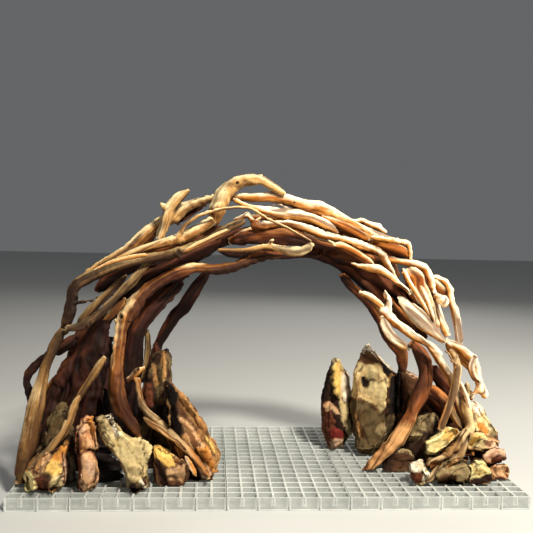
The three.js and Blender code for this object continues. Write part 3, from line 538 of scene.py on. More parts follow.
class Course:
    """Each point's place on its limb: across is the offset from the middle line, along the way down it."""

    def __init__(self, skin):
        ring, parent, child, order, size = rings_of(skin)
        self.ring, self.number = ring, len(size)
        self.filled = np.maximum(size, 1)
        centre = np.stack([self.ring_mean(column) for column in skin.points.T], 1)
        both = [r for r in order if parent[r] >= 0 and child[r] >= 0]
        for _ in range(MIDDLE_LINE_ROUNDS):
            centre[both] = centre[both] / 2 + (centre[parent[both]] + centre[child[both]]) / 4
        direction, side, travelled = ring_axes(centre, parent, child, order)
        ahead = ((skin.points - centre[ring]) * direction[ring]).sum(1)
        beside = np.where(ahead > 0, child[ring], parent[ring])
        real = beside >= 0
        gap = np.linalg.norm(centre[beside] - centre[ring], axis=1)
        share = np.where(real, np.clip(np.abs(ahead) / np.maximum(gap, TINY), 0, 1), 0)[:, None]
        middle = centre[ring] + share * (centre[beside] - centre[ring])
        self.direction = unit(direction[ring] * (1 - share) + direction[beside] * share)
        self.side = unit(side[ring] * (1 - share) + side[beside] * share)
        self.turned = np.cross(self.direction, self.side)
        offset = skin.points - middle
        self.across = np.stack([(offset * self.side).sum(1), (offset * self.turned).sum(1)], 1)
        self.girth = skin.average(self.ring_girth()[ring], 6)
        along = travelled[ring] + share[:, 0] * (travelled[beside] - travelled[ring])
        self.along = skin.average(along + np.where(real, 0, ahead), 3)
        self.across = skin.average(self.across, 2)
        self.length = self.along.max() - self.along.min()

    def ring_mean(self, values):
        return np.bincount(self.ring, values, self.number) / self.filled

    def ring_girth(self):
        return self.ring_mean(np.linalg.norm(self.across, axis=1))

    def keep_girth(self, skin, before):
        """Gives each ring back the girth that softening took from it."""
        grown = np.clip(before / np.maximum(self.ring_girth(), TINY), 1, 1.5)[self.ring]
        grown = skin.average(grown, 30)[:, None] - 1
        skin.points += grown * (self.side * self.across[:, :1] + self.turned * self.across[:, 1:])
        self.across = self.across * (1 + grown)
        self.girth = self.girth * (1 + grown[:, 0])

    def end_share(self):
        """0 at the two far ends of the limb, rising to 1 a little over one girth away from them."""
        away = np.minimum(self.along - self.along.min(), self.along.max() - self.along)
        return away / np.maximum(self.girth * 1.2, 1 * MM)

    def slimness(self):
        """How much relief the limb can carry where it is thin."""
        return np.clip(self.girth / USUAL_GIRTH, 0.25, 1.5)

    def grain(self):
        """Each point's place in wood whose fibres wind slowly round the limb."""
        turn = TWIST * self.along * np.clip(USUAL_GIRTH / np.maximum(self.girth, 1 * MM), 0.3, 1.5)
        u, v = self.across.T
        wound = (u * np.cos(turn) - v * np.sin(turn), u * np.sin(turn) + v * np.cos(turn))
        return np.column_stack([*wound, self.along])


# Knots and healed stubs on each limb: place, radius in millimetres, and how tall its collar is.
# One taller than a nub is a plain stub, without an eye.
KNOTS = {
    "centre_leg_limb": [(-164, 171, 3.4, 1.0), (-155, 165, 2.0, 0.8), (-170, 167, 2.4, 1.25)],
    "shoulder_limb": [
        (-100, 245, 3.2, 1.1), (-213, 188, 2.6, 1.0), (-99, 238, 2.4, 1.25), (-213, 194, 2.2, 1.25),
    ],
    "hook_limb": [(2, 257, 2.2, 1.0)],
    "crown_loop": [(-37, 322, 2.6, 0.9)],
    "pale_front_leg": [(-146, 112, 2.6, 0.9)],
    "grey_crossing_limb": [(-195, 153, 2.4, 1.0), (-196, 155, 2.2, 1.25)],
    "inner_leg_limb": [(-93, 228, 3.0, 0.8), (-104, 221, 2.2, 1.25), (-50, 228, 2.4, 1.3)],
    "front_white_limb": [(131, 193, 3.0, 0.9)],
    "broad_trunk": [(-183, 128, 3.0, 1.5)],
}

# Metres of limb to each scattered knot, and the tallest collar round an eye
KNOT_SPACING = 0.12
NUB = 1.2

# Paler and darker stretches of each limb, partly real wear and partly painted highlights and painted shadows:
# place, radius and amount
WEAR_AND_LIGHT_MARKS = {
    "centre_leg_limb": [
        (-156, 180, 12, 0.1), (-178, 98, 16, -0.5), (-150, 46, 16, -0.8), (-126, 210, 18, -1.0),
        (-104, 222, 10, -0.5), (-84, 231, 8, 0.1), (-58, 222, 14, -1.0), (-36, 227, 15, -1.2),
        (-8, 238, 16, -1.2), (-168, 70, 18, -0.7),
    ],
    "under_hook_stub": [(0, 243, 24, -0.6)],
    "inner_leg_limb": [(90, 218, 20, -0.3), (86, 222, 10, -0.9), (157, 112, 10, -0.8), (118, 196, 26, 0.2)],
    "shoulder_limb": [
        (-156, 237, 14, 0.35), (-118, 240, 14, -0.3), (-216, 185, 24, -0.8), (-80, 252, 16, 0.55),
        (-180, 230, 10, 0.3),
    ],
    "crown_loop": [(-40, 325, 26, -0.1)],
    "hook_limb": [(-40, 245, 24, -0.9), (35, 250, 20, 0.5)],
    "outer_left_leg": [
        (-270, 0, 20, -0.4), (-250, 85, 10, 0.3), (-231, 148, 22, -0.9), (-238, 120, 16, -0.4),
    ],
    "fill_red_face": [(20, 262, 10, 0.25), (-20, 262, 20, -0.4)],
    "front_big_leg": [(185, 130, 34, -0.7), (178, 90, 30, -0.6), (130, 10, 22, 0.2), (155, 36, 14, 0.5)],
    "fan_limb": [(173, 215, 14, -0.35)],
    "outer_loop_limb": [(196, 210, 9, -0.6), (219, 165, 20, 0.25)],
    "ridge_limb": [(90, 270, 14, -0.55), (70, 278, 10, -0.4), (136, 254, 12, -0.1)],
    "inner_dark_limb": [
        (-185, 190, 34, -0.8), (-34, 261, 18, -0.5), (16, 268, 24, -0.1), (52, 262, 16, -0.2),
    ],
    "left_inner_limb": [(-185, 190, 30, -0.5)],
    "ridge_face": [(88, 275, 30, -0.45)],
    "corner_face": [(142, 254, 30, -0.35)],
    "torn_slab_limb": [(172, 178, 26, 0.5)],
    "arch_slab": [(143, 155, 24, 0.3)],
    "back_left_limb": [(-202, 222, 10, -0.6)],
    "upper_left_limb": [(-166, 237, 10, -0.5)],
    "mid_bump": [(98, 247, 14, -0.3)],
    "corner_limb": [(134, 250, 10, -0.7)],
    "mid_ridge_limb": [(30, 268, 14, -0.3)],
    "right_low_limb": [(222, 22, 12, -0.5)],
    "pale_front_leg": [(-134, 76, 22, 0.3)],
    "pale_leg_foot": [(-98, 36, 34, 0.3)],
    "olive_back_limb": [(-150, 215, 30, -0.4)],
    "grey_crossing_limb": [(-180, 198, 26, -0.3)],
    "thin_left_front_limb": [(-205, 90, 24, -0.3)],
    "fill_dark_mass": [(130, 212, 40, 0.35)],
    "mid_web": [(98, 240, 36, 0.3)],
}

# Thicker and thinner stretches of each limb: place, radius and added millimetres
SWELLINGS = {
    "antler_limb": [(-115, 285, 24, 1.0), (-102, 304, 12, 1.0), (-122, 296, 5, -1.0)],
    "crown_loop": [(-58, 296, 16, 1.6), (8, 320, 14, 0.6), (-9, 335, 4, -0.5)],
    "upper_left_limb": [(-90, 263, 26, 1.0)],
    "hook_limb": [(32, 249, 20, 2.0), (-30, 248, 20, 0.8), (3, 261, 4, -0.5)],
    "outer_left_leg": [(-264, 45, 45, 2.4), (-238, 128, 22, 1.0)],
    "centre_leg_limb": [(-156, 182, 16, 2.4), (-60, 226, 26, 0.8)],
    "back_left_limb": [(-148, 256, 24, 1.2)],
    "shoulder_limb": [(-110, 242, 22, 1.4), (-190, 220, 26, 0.8), (-218, 172, 14, 1.0)],
    "inner_leg_limb": [(140, 152, 24, 1.6)],
    "torn_slab_limb": [(176, 175, 18, 3.2)],
    "corner_limb": [(185, 220, 14, 0.8)],
    "right_thin_leg": [(220, 100, 20, 0.6)],
    "bright_patch_limb": [(152, 211, 16, -2.0), (122, 231, 9, 1.2)],
}


def carve_knots(skin, course, limb, seed):
    """Collars with a dark eye, at the places seen in the photograph and at a few scattered ones."""
    chance = np.random.default_rng(seed)
    places = [(seen_at(skin, x, z), radius * MM, tall) for x, z, radius, tall in KNOTS.get(limb, ())]
    for _ in range(int(course.length / KNOT_SPACING)):
        at = int(chance.integers(skin.count))
        radius = course.girth[at] * chance.uniform(0.3, 0.5)
        places.append((at, float(np.clip(radius, 0.9 * MM, 3.2 * MM)), chance.uniform(0.3, 0.9)))
    normal = skin.normals()
    eye = np.zeros(skin.count)
    height = np.zeros(skin.count)
    for at, radius, tall in places:
        away = np.linalg.norm(skin.points - skin.points[at], axis=1) / radius
        facing = np.clip(normal @ normal[at] + 0.3, 0, 1)
        if tall > NUB:
            height += np.clip(facing * 1.5, 0, 1) * radius * tall * np.exp(-((away / 0.75) ** 4))
            continue
        height += facing * radius * tall * 0.42 * bell(away - 1, 0.55)
        height -= facing * radius * 0.6 * bell(away, 0.5)
        eye = np.maximum(eye, facing * bell(away, 0.85))
    return height, eye


def grain_noise(place, seed, kind):
    """Noise drawn out down the grain."""
    across, along, number = kind
    return noise(place * [across, across, along] + seed, seed + number)


def lumps(skin, course, seed):
    """Height of the limb's slow swells and lumps."""
    lump = noise(skin.points * 24 + seed, seed) * 0.16 + noise(skin.points * 70 + seed, seed + 1) * 0.10
    still = course.girth * 0
    swell = noise(np.column_stack([course.along * 30 + seed, still, still]), seed + 2) * 0.12
    return (lump + swell) * course.girth


def fibres(skin, course, place, seed):
    """Height of the relief down the grain, and how deep in its grooves each point lies."""
    flutes, furrows, threads, wrinkles, strands = (
        grain_noise(place, seed, kind) for kind in (FLUTES, FURROWS, THREADS, WRINKLES, STRANDS)
    )
    strands = bell(strands, 0.13)
    wrinkles = wrinkles * smooth_step(0.1, 0.5, noise(skin.points * 17, seed + 7))
    relief = 0.35 + 0.5 * flutes + 0.35 * furrows + 0.2 * threads + 0.05 * wrinkles - 1.0 * strands
    groove = 0.42 - 0.4 * flutes - 0.4 * furrows - 0.3 * threads + 0.5 * strands
    return course.slimness() * MM * relief, np.clip(groove, 0, 1)


def paleness_and_light(skin, planes, seed):
    """How pale each point is painted, partly weathering and mostly painted light: most on top, outside the
    arch, on the side of the key light, and on some faces.
    """
    outward = unit(skin.points * [1, 0, 1] - ARCH_MIDDLE)
    facing = unit(skin.average(skin.normals(), 6))
    # painted highlight on faces turned up and out of the arch, painted shade on faces turned down and in
    wear_and_light = 0.5 + 0.3 * facing[:, 2] + 0.32 * (facing * outward).sum(1)
    wear_and_light += 0.16 * noise(skin.points * 33, seed + 9)
    wear_and_light += 0.16 * (planes - 0.5)
    # painted light: paler towards the key light's side
    return wear_and_light + KEY_SIDE_LIGHT * skin.points[:, 0] / CAD_BOX[1][0]


def dress_limb(name, mesh, voxel, softness, material, seed, replaced=None):
    """Turns a faceted limb into weathered wood with flutes, fibres, lumps, knots and torn ends."""
    limb = replaced or name
    skin = Skin(even_mesh(mesh, voxel), voxel)
    before = Course(skin).ring_girth()
    skin.soften(softness)
    course = Course(skin)
    course.keep_girth(skin, before)
    place = course.grain()
    height = lumps(skin, course, seed)
    broad = float(np.clip(np.median(course.girth), 2 * MM, 7 * MM))
    sizes = {key: share * broad for key, share in WORN_FACES.items()}
    planes = facet(skin, course.direction, **sizes, tilt=WORN_TILT, seed=seed + 16)
    relief, groove = fibres(skin, course, place, seed)
    height += relief
    height += spots(skin, SWELLINGS.get(limb, ())) * MM
    worn = 1 - smooth_step(0.0, 1.6, course.end_share())
    taper = TAPER.get(limb, SOLID_TAPER if replaced else FILL_TAPER)
    height -= worn * course.girth * (taper + 0.35 * grain_noise(place, seed, FRAYS))
    cap = smooth_step(0.55, 0.85, np.abs((skin.normals() * course.direction).sum(1)))
    cap = skin.average(cap * smooth_step(0.6, 0.2, course.end_share()), 2)
    tear = layered_noise(place * TEARS + seed, seed + 8, 2)
    knots, eye = carve_knots(skin, course, limb, seed)
    height = height * (1 - cap) + knots * (1 - cap) + cap * course.slimness() * tear * 1.6 * MM
    skin.push(height)
    # real wear together with painted highlights and painted shade, from the paleness and the marks
    wear_and_light = paleness_and_light(skin, planes, seed) + spots(skin, WEAR_AND_LIGHT_MARKS.get(limb, ()))
    skin.label("grain", place)
    skin.label("wear_and_light", np.clip(wear_and_light, -1, 1))
    skin.label("knot", np.clip(eye, 0, 1))
    skin.label("cut", cap)
    skin.label("groove", groove)
    return finished(skin, name, material, replaced)


# Stone

# Broken faces seen on each rock: tone, lift in millimetres, and outline on the middle plane in millimetres.
# The sunk faces in the dark and black tones are hollows painted with shade.
FACES = {
    "left_corner_rock": [
        ("rust", -1.0, [(-256, -4), (-246, -4), (-240, -12), (-241, -26), (-257, -28), (-259, -14)]),
        ("lemon", 0.8, [(-270, -8), (-262, 0), (-254, -4), (-257, -12), (-254, -28), (-268, -28)]),
        ("tan", 0.5, [(-262, 0), (-252, 14), (-247, 12), (-251, 0), (-257, -6)]),
        ("peach", 0.8, [
            (-257, -8), (-250, 2), (-247, 20), (-240, 19), (-240, 10), (-246, 2), (-248, -6), (-252, -8),
        ]),
        ("orange", 0.9, [(-220, 36), (-221, 18), (-226, 4), (-234, 6), (-240, 8), (-234, 16), (-229, 24)]),
        ("yellow", 0.8, [(-246, -4), (-240, 9), (-230, 8), (-228, -6), (-238, -9)]),
        ("cream", 0.7, [(-241, -10), (-228, -8), (-224, -18), (-226, -30), (-242, -30), (-240, -18)]),
        ("pink", 0.6, [(-229, 16), (-221, 14), (-219, -18), (-226, -22), (-228, 0)]),
        ("dark", -1.6, [(-241, 22), (-235, 26), (-233, 17), (-240, 9), (-242, 12)]),
        ("dark", -1.4, [(-247, -4), (-242, -6), (-237, -12), (-240, -14), (-246, -9)]),
    ],
    "left_olive_slab": [
        ("olive", 0.5, [(-246, 30), (-241, 54), (-228, 70), (-223, 62), (-225, 40), (-234, 31)]),
        ("dark", -1.5, [(-243, 31), (-228, 36), (-228, 20), (-240, 16)]),
        ("slate", 0.6, [(-224, 22), (-217, 16), (-212, -2), (-214, -24), (-224, -22), (-226, 0)]),
    ],
    "left_split_rock": [
        ("rust", 0.0, [(-214, 42), (-206, 44), (-204, 30), (-206, 12), (-206, -24), (-214, -24)]),
        ("peach", 0.9, [
            (-212, 48), (-202, 57), (-193, 63), (-188, 50), (-182, 24), (-192, 21), (-198, 24), (-203, 34),
            (-211, 40),
        ]),
        ("orange", 0.9, [(-201, 56), (-193, 62), (-191, 44), (-194, 30), (-198, 42)]),
        ("pink", 0.6, [(-211, 47), (-204, 50), (-203, 38), (-208, 33), (-210, 40)]),
        ("shade_black", -2.6, [(-200, 21), (-182, 22), (-180, 10), (-188, 11), (-194, 17)]),
        ("peach", 0.9, [
            (-204, 18), (-197, 18), (-189, 9), (-181, -8), (-186, -24), (-200, -33), (-208, -22), (-205, -4),
        ]),
        ("pink", 0.5, [(-200, 14), (-190, 4), (-186, -8), (-190, -14), (-200, -8)]),
    ],
    "left_star_rock": [
        ("cream", 1.0, [
            (-190, 56), (-172, 67), (-166, 46), (-158, 35), (-140, 36), (-127, 26), (-127, 12), (-133, 4),
            (-131, -10), (-146, -13), (-153, -12), (-158, 2), (-168, 15), (-183, 34),
        ]),
        ("khaki", 0.2, [(-189, 55), (-180, 60), (-178, 40), (-172, 34), (-176, 26), (-187, 40)]),
        ("white", 0.4, [(-179, 62), (-172, 66), (-168, 46), (-162, 36), (-168, 33), (-175, 46)]),
        ("khaki", -0.6, [(-154, -2), (-146, 2), (-136, -2), (-134, -10), (-150, -12)]),
        ("olive", -1.6, [(-152, -14), (-138, -13), (-130, -30), (-150, -33)]),
        ("white", 0.9, [(-141, -11), (-137, -13), (-130, -27), (-133, -28)]),
        ("dark", -1.5, [(-152, -20), (-146, -16), (-143, -20), (-144, -33), (-152, -33)]),
    ],
    "left_yellow_rock": [
        ("brown", -0.5, [(-132, 34), (-80, 20), (-80, -28), (-132, -28)]),
        ("yellow", 1.1, [(-127, 27), (-116, 29), (-101, 16), (-100, 2), (-108, -1), (-116, 6), (-124, 15)]),
        ("peach", 0.9, [(-103, 13), (-94, 15), (-88, 10), (-88, 4), (-94, 1), (-103, 2)]),
        ("dark", -1.4, [(-126, 12), (-118, 6), (-110, -3), (-110, -24), (-118, -24), (-120, -6)]),
        ("peach", 1.0, [(-111, -3), (-104, -2), (-91, 2), (-89, -6), (-90, -17), (-100, -16), (-111, -14)]),
    ],
    "left_streaked_slab": [
        ("shade_black", -1.8, [(-114, 100), (-99, 92), (-99, 70), (-92, 42), (-98, 24), (-116, 40)]),
        ("tan", 0.4, [(-104, 95), (-88, 78), (-74, 56), (-66, 40), (-72, 38), (-86, 56), (-96, 72)]),
        ("peach", 1.0, [
            (-99, 62), (-88, 52), (-76, 36), (-66, 20), (-60, 2), (-66, -6), (-76, 12), (-86, 30), (-92, 46),
        ]),
        ("yellow", 0.9, [(-69, 38), (-62, 31), (-56, 18), (-60, 14), (-65, 26)]),
        ("orange", 0.2, [(-78, 24), (-66, 24), (-56, 2), (-60, -6), (-70, 8)]),
        ("pink", 0.4, [(-74, -4), (-60, -4), (-62, -20), (-74, -20)]),
        ("shade_black", -1.5, [(-92, 10), (-82, 12), (-70, -6), (-72, -24), (-90, -24)]),
    ],
    "left_tall_slab": [
        ("rust", 0.2, [(-146, 96), (-128, 96), (-126, 70), (-146, 70)]),
        ("tan", 0.9, [(-128, 118), (-124, 117), (-121, 96), (-125, 92)]),
        ("tan", 0.7, [(-118, 134), (-113, 130), (-112, 104), (-116, 96)]),
        ("shade_black", -1.6, [(-128, 72), (-100, 74), (-96, 40), (-120, 50)]),
    ],
    "right_front_slab": [
        ("olive", 0.0, [(90, 80), (118, 79), (131, 62), (165, 66), (150, 30), (120, 6), (96, 20)]),
        ("cream", 1.4, [
            (97, 117), (106, 122), (117, 118), (122, 121), (131, 122), (135, 112), (141, 104), (140, 88),
            (137, 68), (132, 62), (127, 74), (110, 80), (97, 82), (99, 98),
        ]),
        ("khaki", 1.0, [(116, 113), (128, 112), (132, 104), (124, 100), (118, 106)]),
        ("shade_black", -3.0, [(110, 104), (115, 104), (120, 97), (118, 91), (113, 94)]),
        ("brown", -0.6, [(105, 122), (109, 137), (119, 137), (131, 123), (121, 119), (116, 119)]),
        ("white", 1.0, [(102, 134), (109, 148), (120, 148), (128, 134), (118, 136), (112, 133)]),
        ("white", 1.2, [(121, 138), (134, 129), (149, 113), (146, 111), (131, 126), (119, 135)]),
        ("shade_black", -1.6, [(131, 125), (147, 112), (142, 104), (136, 111)]),
        ("shade_black", -2.6, [(143, 106), (158, 108), (156, 84), (158, 66), (142, 60), (141, 84)]),
        ("tan", 0.8, [(101, 66), (106, 60), (118, 34), (114, 30), (104, 46)]),
        ("khaki", 0.4, [(132, 50), (140, 54), (143, 44), (136, 34), (128, 40)]),
    ],
    "right_small_tall_rock": [
        ("dark", -0.8, [(62, 96), (70, 126), (78, 126), (79, 88), (92, 70), (96, 44), (58, 40)]),
        ("cream", 1.2, [
            (74, 124), (80, 131), (87, 124), (92, 116), (101, 112), (101, 90), (97, 74), (95, 60), (103, 44),
            (96, 38), (88, 56), (86, 70), (84, 84), (79, 86), (77, 98), (77, 112),
        ]),
        ("yellow", 0.9, [(78, 120), (83, 124), (86, 112), (85, 96), (82, 84), (79, 88), (77, 104)]),
        ("white", 1.5, [(88, 112), (97, 108), (98, 92), (94, 76), (89, 78), (87, 96)]),
        ("rust", 0.2, [(60, 78), (72, 74), (80, 54), (78, 20), (58, 30)]),
        ("red", 0.4, [(74, 40), (80, 47), (87, 45), (92, 37), (89, 30), (80, 28)]),
        ("peach", 0.9, [(68, 72), (74, 76), (82, 70), (87, 62), (82, 62), (76, 68), (70, 66)]),
        ("pink", 0.6, [(76, 32), (90, 34), (94, 24), (84, 20), (74, 24)]),
    ],
    "right_back_rock": [
        ("brown", 0.0, [(148, 120), (180, 106), (188, 60), (148, 50)]),
        ("shade_black", -1.5, [(140, 112), (156, 112), (160, 64), (140, 58)]),
        ("pink", 1.0, [(153, 119), (160, 116), (178, 104), (176, 101), (160, 111), (152, 112)]),
    ],
    "right_olive_rock": [
        ("khaki", 0.8, [(178, 64), (201, 62), (197, 50), (190, 42), (176, 44)]),
        ("khaki", 1.2, [(162, 36), (172, 41), (184, 40), (180, 33), (166, 31)]),
        ("dark", -1.5, [(200, 60), (208, 40), (200, 20), (192, 40), (197, 50)]),
    ],
    "right_brown_rock": [
        ("brown", 0.4, [(146, 16), (160, 22), (176, 14), (178, -2), (150, -6)]),
        ("khaki", 1.0, [(154, 20), (164, 25), (178, 15), (174, 12), (164, 19), (156, 16)]),
    ],
    "right_yellow_rock": [
        ("lemon", 1.0, [
            (185, 28), (196, 38), (208, 48), (216, 48), (229, 41), (219, 31), (210, 21), (196, 15), (187, 18),
        ]),
        ("yellow", 0.3, [(208, 46), (228, 42), (216, 30), (206, 33)]),
        ("dark", -1.0, [(181, 32), (189, 27), (188, 14), (181, 16)]),
    ],
    "right_triangle_rock": [
        ("white", 1.0, [(166, 1), (173, 6), (182, 14), (186, 2), (187, -4), (180, -7), (172, -5)]),
        ("white", 1.0, [(184, -4), (198, -5), (193, -13), (190, -20), (184, -16), (187, -9)]),
        ("rust", -0.8, [(166, -2), (174, -6), (182, -7), (186, -12), (184, -26), (174, -22)]),
    ],
    "right_base_rock": [
        ("khaki", 0.4, [(190, -10), (214, 4), (245, 4), (246, -34), (192, -34)]),
        ("brown", -0.6, [(196, -14), (210, -6), (226, -8), (232, -30), (196, -30)]),
        ("olive", 0.9, [(206, 2), (226, 16), (238, 12), (240, 2), (214, 2)]),
        ("tan", 1.0, [(212, 2), (222, 14), (230, 15), (224, 6), (214, -2)]),
    ],
    "right_star_rock": [
        ("dark", -0.4, [(230, 14), (268, 14), (270, -28), (232, -28)]),
        ("lemon", 1.4, [
            (235, 3), (243, 3), (246, 10), (256, 8), (266, -8), (256, -12), (247, -14), (239, -14), (243, -7),
            (240, -2),
        ]),
    ],
    "right_edge_rock": [
        ("peach", 1.0, [(257, 1), (270, 5), (286, 8), (292, -4), (292, -13), (278, -10), (262, -8)]),
        ("slate", 0.0, [(258, -9), (278, -12), (292, -15), (292, -28), (258, -28)]),
    ],
    "right_pink_rock": [
        ("pink", 1.0, [(251, 20), (262, 24), (278, 25), (286, 12), (276, 12), (270, 6), (260, 5), (254, 12)]),
        ("rust", -0.8, [(268, 14), (276, 15), (282, 8), (272, 3), (266, 5)]),
    ],
    "right_beige_rock": [
        ("cream", 1.0, [
            (235, 34), (243, 41), (252, 42), (260, 33), (270, 33), (276, 26), (262, 21), (250, 20), (239, 22),
        ]),
        ("yellow", 0.4, [(237, 33), (246, 40), (254, 40), (250, 28), (240, 24)]),
        ("pink", 0.4, [(258, 34), (276, 32), (274, 22), (262, 22)]),
    ],
    "right_tall_slab": [
        ("cream", 0.8, [(237, 74), (244, 82), (262, 56), (273, 40), (268, 32), (248, 34), (240, 50)]),
        ("orange", -0.6, [(246, 54), (256, 52), (264, 42), (258, 38), (248, 42)]),
        ("white", 0.8, [(240, 76), (244, 81), (254, 66), (250, 60), (243, 66)]),
        ("shade_black", -1.5, [(240, 21), (252, 21), (256, 8), (244, 6)]),
    ],
}


def inside(outline, x, z):
    """Distance in millimetres to the edge of the outline, above zero inside it."""
    nearest = np.full(len(x), np.inf)
    within = np.zeros(len(x), bool)
    for (x0, z0), (x1, z1) in zip(outline, outline[1:] + outline[:1]):
        dx, dz = x1 - x0, z1 - z0
        share = np.clip(((x - x0) * dx + (z - z0) * dz) / (dx * dx + dz * dz), 0, 1)
        nearest = np.minimum(nearest, np.hypot(x - x0 - dx * share, z - z0 - dz * share))
        crossed = (z0 > z) != (z1 > z)
        within ^= crossed & (x < dx * (z - z0) / (dz if dz else 1e-9) + x0)
    return np.where(within, nearest, -nearest)


def flatten(skin, cover, lift):
    """Moves the covered points towards the flat face that fits them, lifted or sunk by some millimetres."""
    most = cover > 0.6
    if most.sum() <= 20:
        return
    across = np.column_stack([skin.points[:, 0], skin.points[:, 2], np.ones(skin.count)])
    plane = across @ np.linalg.lstsq(across[most], skin.points[most, 1], rcond=None)[0]
    ahead = np.percentile((plane - skin.points[:, 1])[most], 70)
    moved = np.clip(plane - ahead - lift * MM - skin.points[:, 1], -FARTHEST_MOVE, FARTHEST_MOVE)
    skin.points[:, 1] += cover * FLATNESS * moved


def paint_faces(skin, rock, tone, seed):
    """Breaks the outlined faces off flat, with ragged edges, each in its own tone."""
    away = skin.points - EYE
    facing = (skin.normals() * -unit(away)).sum(1)
    front = smooth_step(-0.05, 0.15, facing)
    shown = smooth_step(-0.35, -0.1, facing)
    seen = (EYE + away * (-EYE[1] / away[:, 1])[:, None]) / MM
    wander = [
        1.4 * noise(skin.points * 120, seed + k) + 0.9 * noise(skin.points * 330, seed + 2 + k)
        for k in (0, 1)
    ]
    skin.points[:, 1] += SUNK * front
    for family, lift, outline in FACES.get(rock, ()):
        within = smooth_step(-0.6, 0.8, inside(outline, seen[:, 0] + wander[0], seen[:, 2] + wander[1]))
        tone += (np.array(TONES[family]) - tone) * (within * shown)[:, None]
        flatten(skin, within * front, lift)


def shape_block(skin, seed):
    """Spreads the front and back of the block and notches its rim."""
    middle = (skin.points.max(0) + skin.points.min(0)) / 2
    half = np.ptp(skin.points[:, 1]) / 2
    flare = 1 + FLARE * smooth_step(0.15, 0.9, np.abs(skin.points[:, 1] - middle[1]) / half)[:, None]
    skin.points += (skin.points - middle) * (flare - 1) * [1, 0, 1]
    middle = skin.points.mean(0)
    extent = np.linalg.eigh((skin.points - middle).T @ (skin.points - middle))[1]
    outward = skin.average(skin.normals(), 2) * [1, 0, 1]
    rim = smooth_step(0.35, 0.9, np.linalg.norm(outward, axis=1))
    notch = 0.2 - np.abs(noise(skin.points * 55 + seed, seed + 11))
    notch += 0.35 * noise(skin.points * 130, seed + 12)
    skin.points += (rim * notch * NOTCH_DEPTH)[:, None] * unit(outward)
    return middle, extent


def dress_rock(name, mesh, slot, material, seed, replaced, bark):
    """Breaks the plain block into chips and layers, with pits, cracks and rough faces."""
    skin = Skin(even_mesh(mesh, ROCK_VOXEL), ROCK_VOXEL)
    skin.soften(ROCK_SOFTNESS)
    middle, extent = shape_block(skin, seed)
    local = (skin.points - middle) @ extent
    lengthwise = np.tile(extent[:, 2], (skin.count, 1))
    broad = facet(skin, lengthwise, **BROAD_CHIPS, seed=seed)
    layers = noise(local * LAYERS + 0.9 * noise(skin.points * 30, seed + 1)[:, None], seed + 2)
    steps = np.abs(noise(local * STEPS + seed, seed + 3))
    rough = layered_noise(skin.points * 230 + seed, seed + 4, 2, 0.7)
    pits = smooth_step(0.42, 0.12, cell_distance(skin.points * 150 + seed, seed + 5))
    pits *= smooth_step(-0.1, 0.35, noise(skin.points * 28, seed + 6))
    cracks = smooth_step(0.07, 0.0, np.abs(noise(local * CRACKS + seed, seed + 8)))
    height = MM * ((0.25 + bark) * layers + (0.5 + bark) * (0.3 - steps) + 0.45 * rough - 0.7 * pits)
    ridges = bark * (0.5 - np.abs(noise(local * BARK_RIDGES + seed, seed + 9))) * 3.0
    ragged = layered_noise(local * RAGS + seed, seed + 10, 4, 0.6)
    dark, pale = (np.array(TONES[tone]) for tone in BACKS[slot.rpartition("_")[0]])
    tone = dark + (pale - dark) * smooth_step(-0.25, 0.3, ragged + 0.4 * (broad - 0.5))[:, None]
    paint_faces(skin, replaced, tone, seed + 20)
    small = facet(skin, lengthwise, **SMALL_CHIPS, seed=seed + 1)
    skin.push(height - CRACK_DEPTH * cracks + MM * ridges)
    tone *= 0.9 + 0.2 * small[:, None] + 0.08 * layered_noise(skin.points * 140, seed + 13, 2)[:, None]
    skin.label("layer", local)
    skin.label("tone", tone)
    skin.label("groove", np.clip(0.4 - 0.35 * layers - 0.4 * rough + 0.7 * pits + 0.8 * cracks, 0, 1))
    return finished(skin, name, material, replaced)


# Materials

